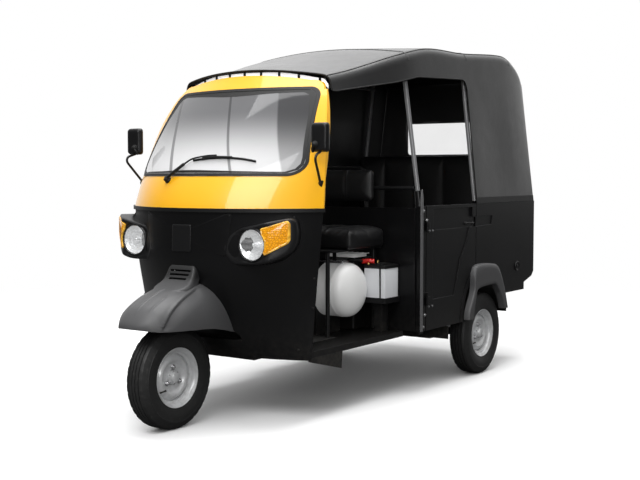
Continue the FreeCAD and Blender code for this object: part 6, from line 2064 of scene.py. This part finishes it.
@dataclass
class Studio(Assembly):
    """Pale floor, soft lights, white surroundings and the camera."""

    fit: CameraFit = CameraFit()

    def camera(self) -> None:
        """Set the camera at the photograph's view."""
        f = self.fit
        data = bpy.data.cameras.new("photo_camera")
        camera = bpy.data.objects.new("photo_camera", data)
        bpy.context.collection.objects.link(camera)
        back = Vector((math.sin(f.turn) * math.cos(f.rise), -math.cos(f.turn) * math.cos(f.rise), math.sin(f.rise)))
        right = (-back).cross(UP).normalized()
        up = right.cross(-back)
        place = at(f.cx, f.cy, f.cz)
        camera.matrix_world = Matrix(((right.x, up.x, back.x, place.x), (right.y, up.y, back.y, place.y),
                                      (right.z, up.z, back.z, place.z), (0, 0, 0, 1)))
        data.sensor_width = f.sensor
        data.lens = f.focal / f.width * f.sensor
        data.shift_x = -f.px / f.width
        data.shift_y = f.py / f.width
        data.clip_start, data.clip_end = 0.05, 200.0
        bpy.context.scene.camera = camera

    def light(self, name: str, place: Point, target: Point, size: Flat, power: float) -> None:
        """Add one area light.

        Args:
            name: Its name.
            place: Where it stands, in metres.
            target: Point at which it is aimed.
            size: Its width and height in metres.
            power: Its power in watts.
        """
        data = bpy.data.lights.new(name, "AREA")
        data.shape, data.energy = "RECTANGLE", power
        data.size, data.size_y = size
        lamp = bpy.data.objects.new(name, data)
        bpy.context.collection.objects.link(lamp)
        spot = Vector(place)
        turned = (Vector(target) - spot).to_track_quat("-Z", "Y").to_matrix().to_4x4()
        lamp.matrix_world = Matrix.Translation(spot) @ turned

    def floor_finish(self) -> bpy.types.Material:
        """Pale floor that runs out to white, and is darker to what mirrors it.

        Returns:
            The material.
        """
        g = Graph(bpy.data.materials.new("studio_floor"))
        near = g.node("ShaderNodeBsdfPrincipled", {}, {
            "Base Color": g.mix(g.noise(0.6, 2.0), (0.93, 0.93, 0.93), (0.96, 0.96, 0.96)), "Roughness": 0.75,
            "Specular IOR Level": 0.2})
        mirrored_floor = g.node("ShaderNodeBsdfDiffuse", {}, {"Color": (0.10, 0.10, 0.10)})
        far = g.node("ShaderNodeEmission", {}, {"Color": (1, 1, 1), "Strength": 1.0})
        reach = g.add("ShaderNodeVectorMath", {"operation": "LENGTH"}, {0: g.place()}, "Value").between(2.6, 6.0)
        seen = g.add("ShaderNodeLightPath", {}, {}, "Is Camera Ray")
        return g.finish(g.blend(seen, mirrored_floor, g.blend(reach, near, far)))

    def surroundings(self) -> None:
        """White to the camera; for light and mirror images bright behind and above, dim in front."""
        world = bpy.data.worlds.new("surroundings")
        bpy.context.scene.world = world
        g = Graph(world, "ShaderNodeOutputWorld")
        behind = g.along((-0.566, 0.824, 0.0), "Generated").between(0.25, 0.9)
        above = g.along((0.0, 0.0, 1.0), "Generated").between(0.25, 0.95)
        share = (behind + above * 0.85).clamped()
        around = g.node("ShaderNodeBackground", {}, {"Color": g.mix(share, (0.07, 0.07, 0.07), (1.0, 1.0, 1.0)),
                                                     "Strength": 1.1})
        white = g.node("ShaderNodeBackground", {}, {"Color": (1, 1, 1), "Strength": 1.0})
        g.finish(g.blend(g.add("ShaderNodeLightPath", {}, {}, "Is Camera Ray"), around, white))

    def build(self) -> None:
        """Build the floor, lights and surroundings."""
        mesh = bpy.data.meshes.new("studio_floor")
        mesh.from_pydata([(-30, -20, 0), (30, -20, 0), (30, 40, 0), (-30, 40, 0)], [], [(0, 1, 2, 3)])
        floor = bpy.data.objects.new("studio_floor", mesh)
        bpy.context.collection.objects.link(floor)
        mesh.materials.append(self.floor_finish())
        self.light("key_light", (1.5, -5.5, 5.5), (0, 0, 0.6), (4.0, 3.0), 260)
        self.light("top_light", (0.0, 0.5, 6.5), (0, 0.3, 0), (5.0, 5.0), 420)
        self.light("fill_light", (4.7, -5.4, 2.3), (0.2, 0, 0.5), (3.0, 2.0), 105)
        self.surroundings()
        bpy.context.scene.view_settings.view_transform = "Standard"
        self.camera()


def main() -> None:
    """Build and dress every sub-assembly in order."""
    logging.basicConfig(level=logging.INFO, format="%(name)s %(message)s")
    assemblies: Sequence[Assembly] = (
        Wheel("front", Body.FRONT_WHEEL, 0, 0, 1, "front_tyre", "front_rim"),
        Wheel("left", Body.REAR_LEFT, 532.5, 2100, 1, "rear_tyre_left", "rear_rim_left"),
        Wheel("right", Body.REAR_RIGHT, -532.5, 2100, -1, "rear_tyre_right", "rear_rim_right"),
        Steering(), FrontShell(), Mudguard(), Lamps(), Screen(), Mirrors(), Cab(), RearBody(), Hood(), Underside(),
        Studio())
    for assembly in assemblies:
        LOG.info("building %s", type(assembly).__name__)
        assembly.build()
        assembly.dress()


if __name__ == "__main__":
    main()
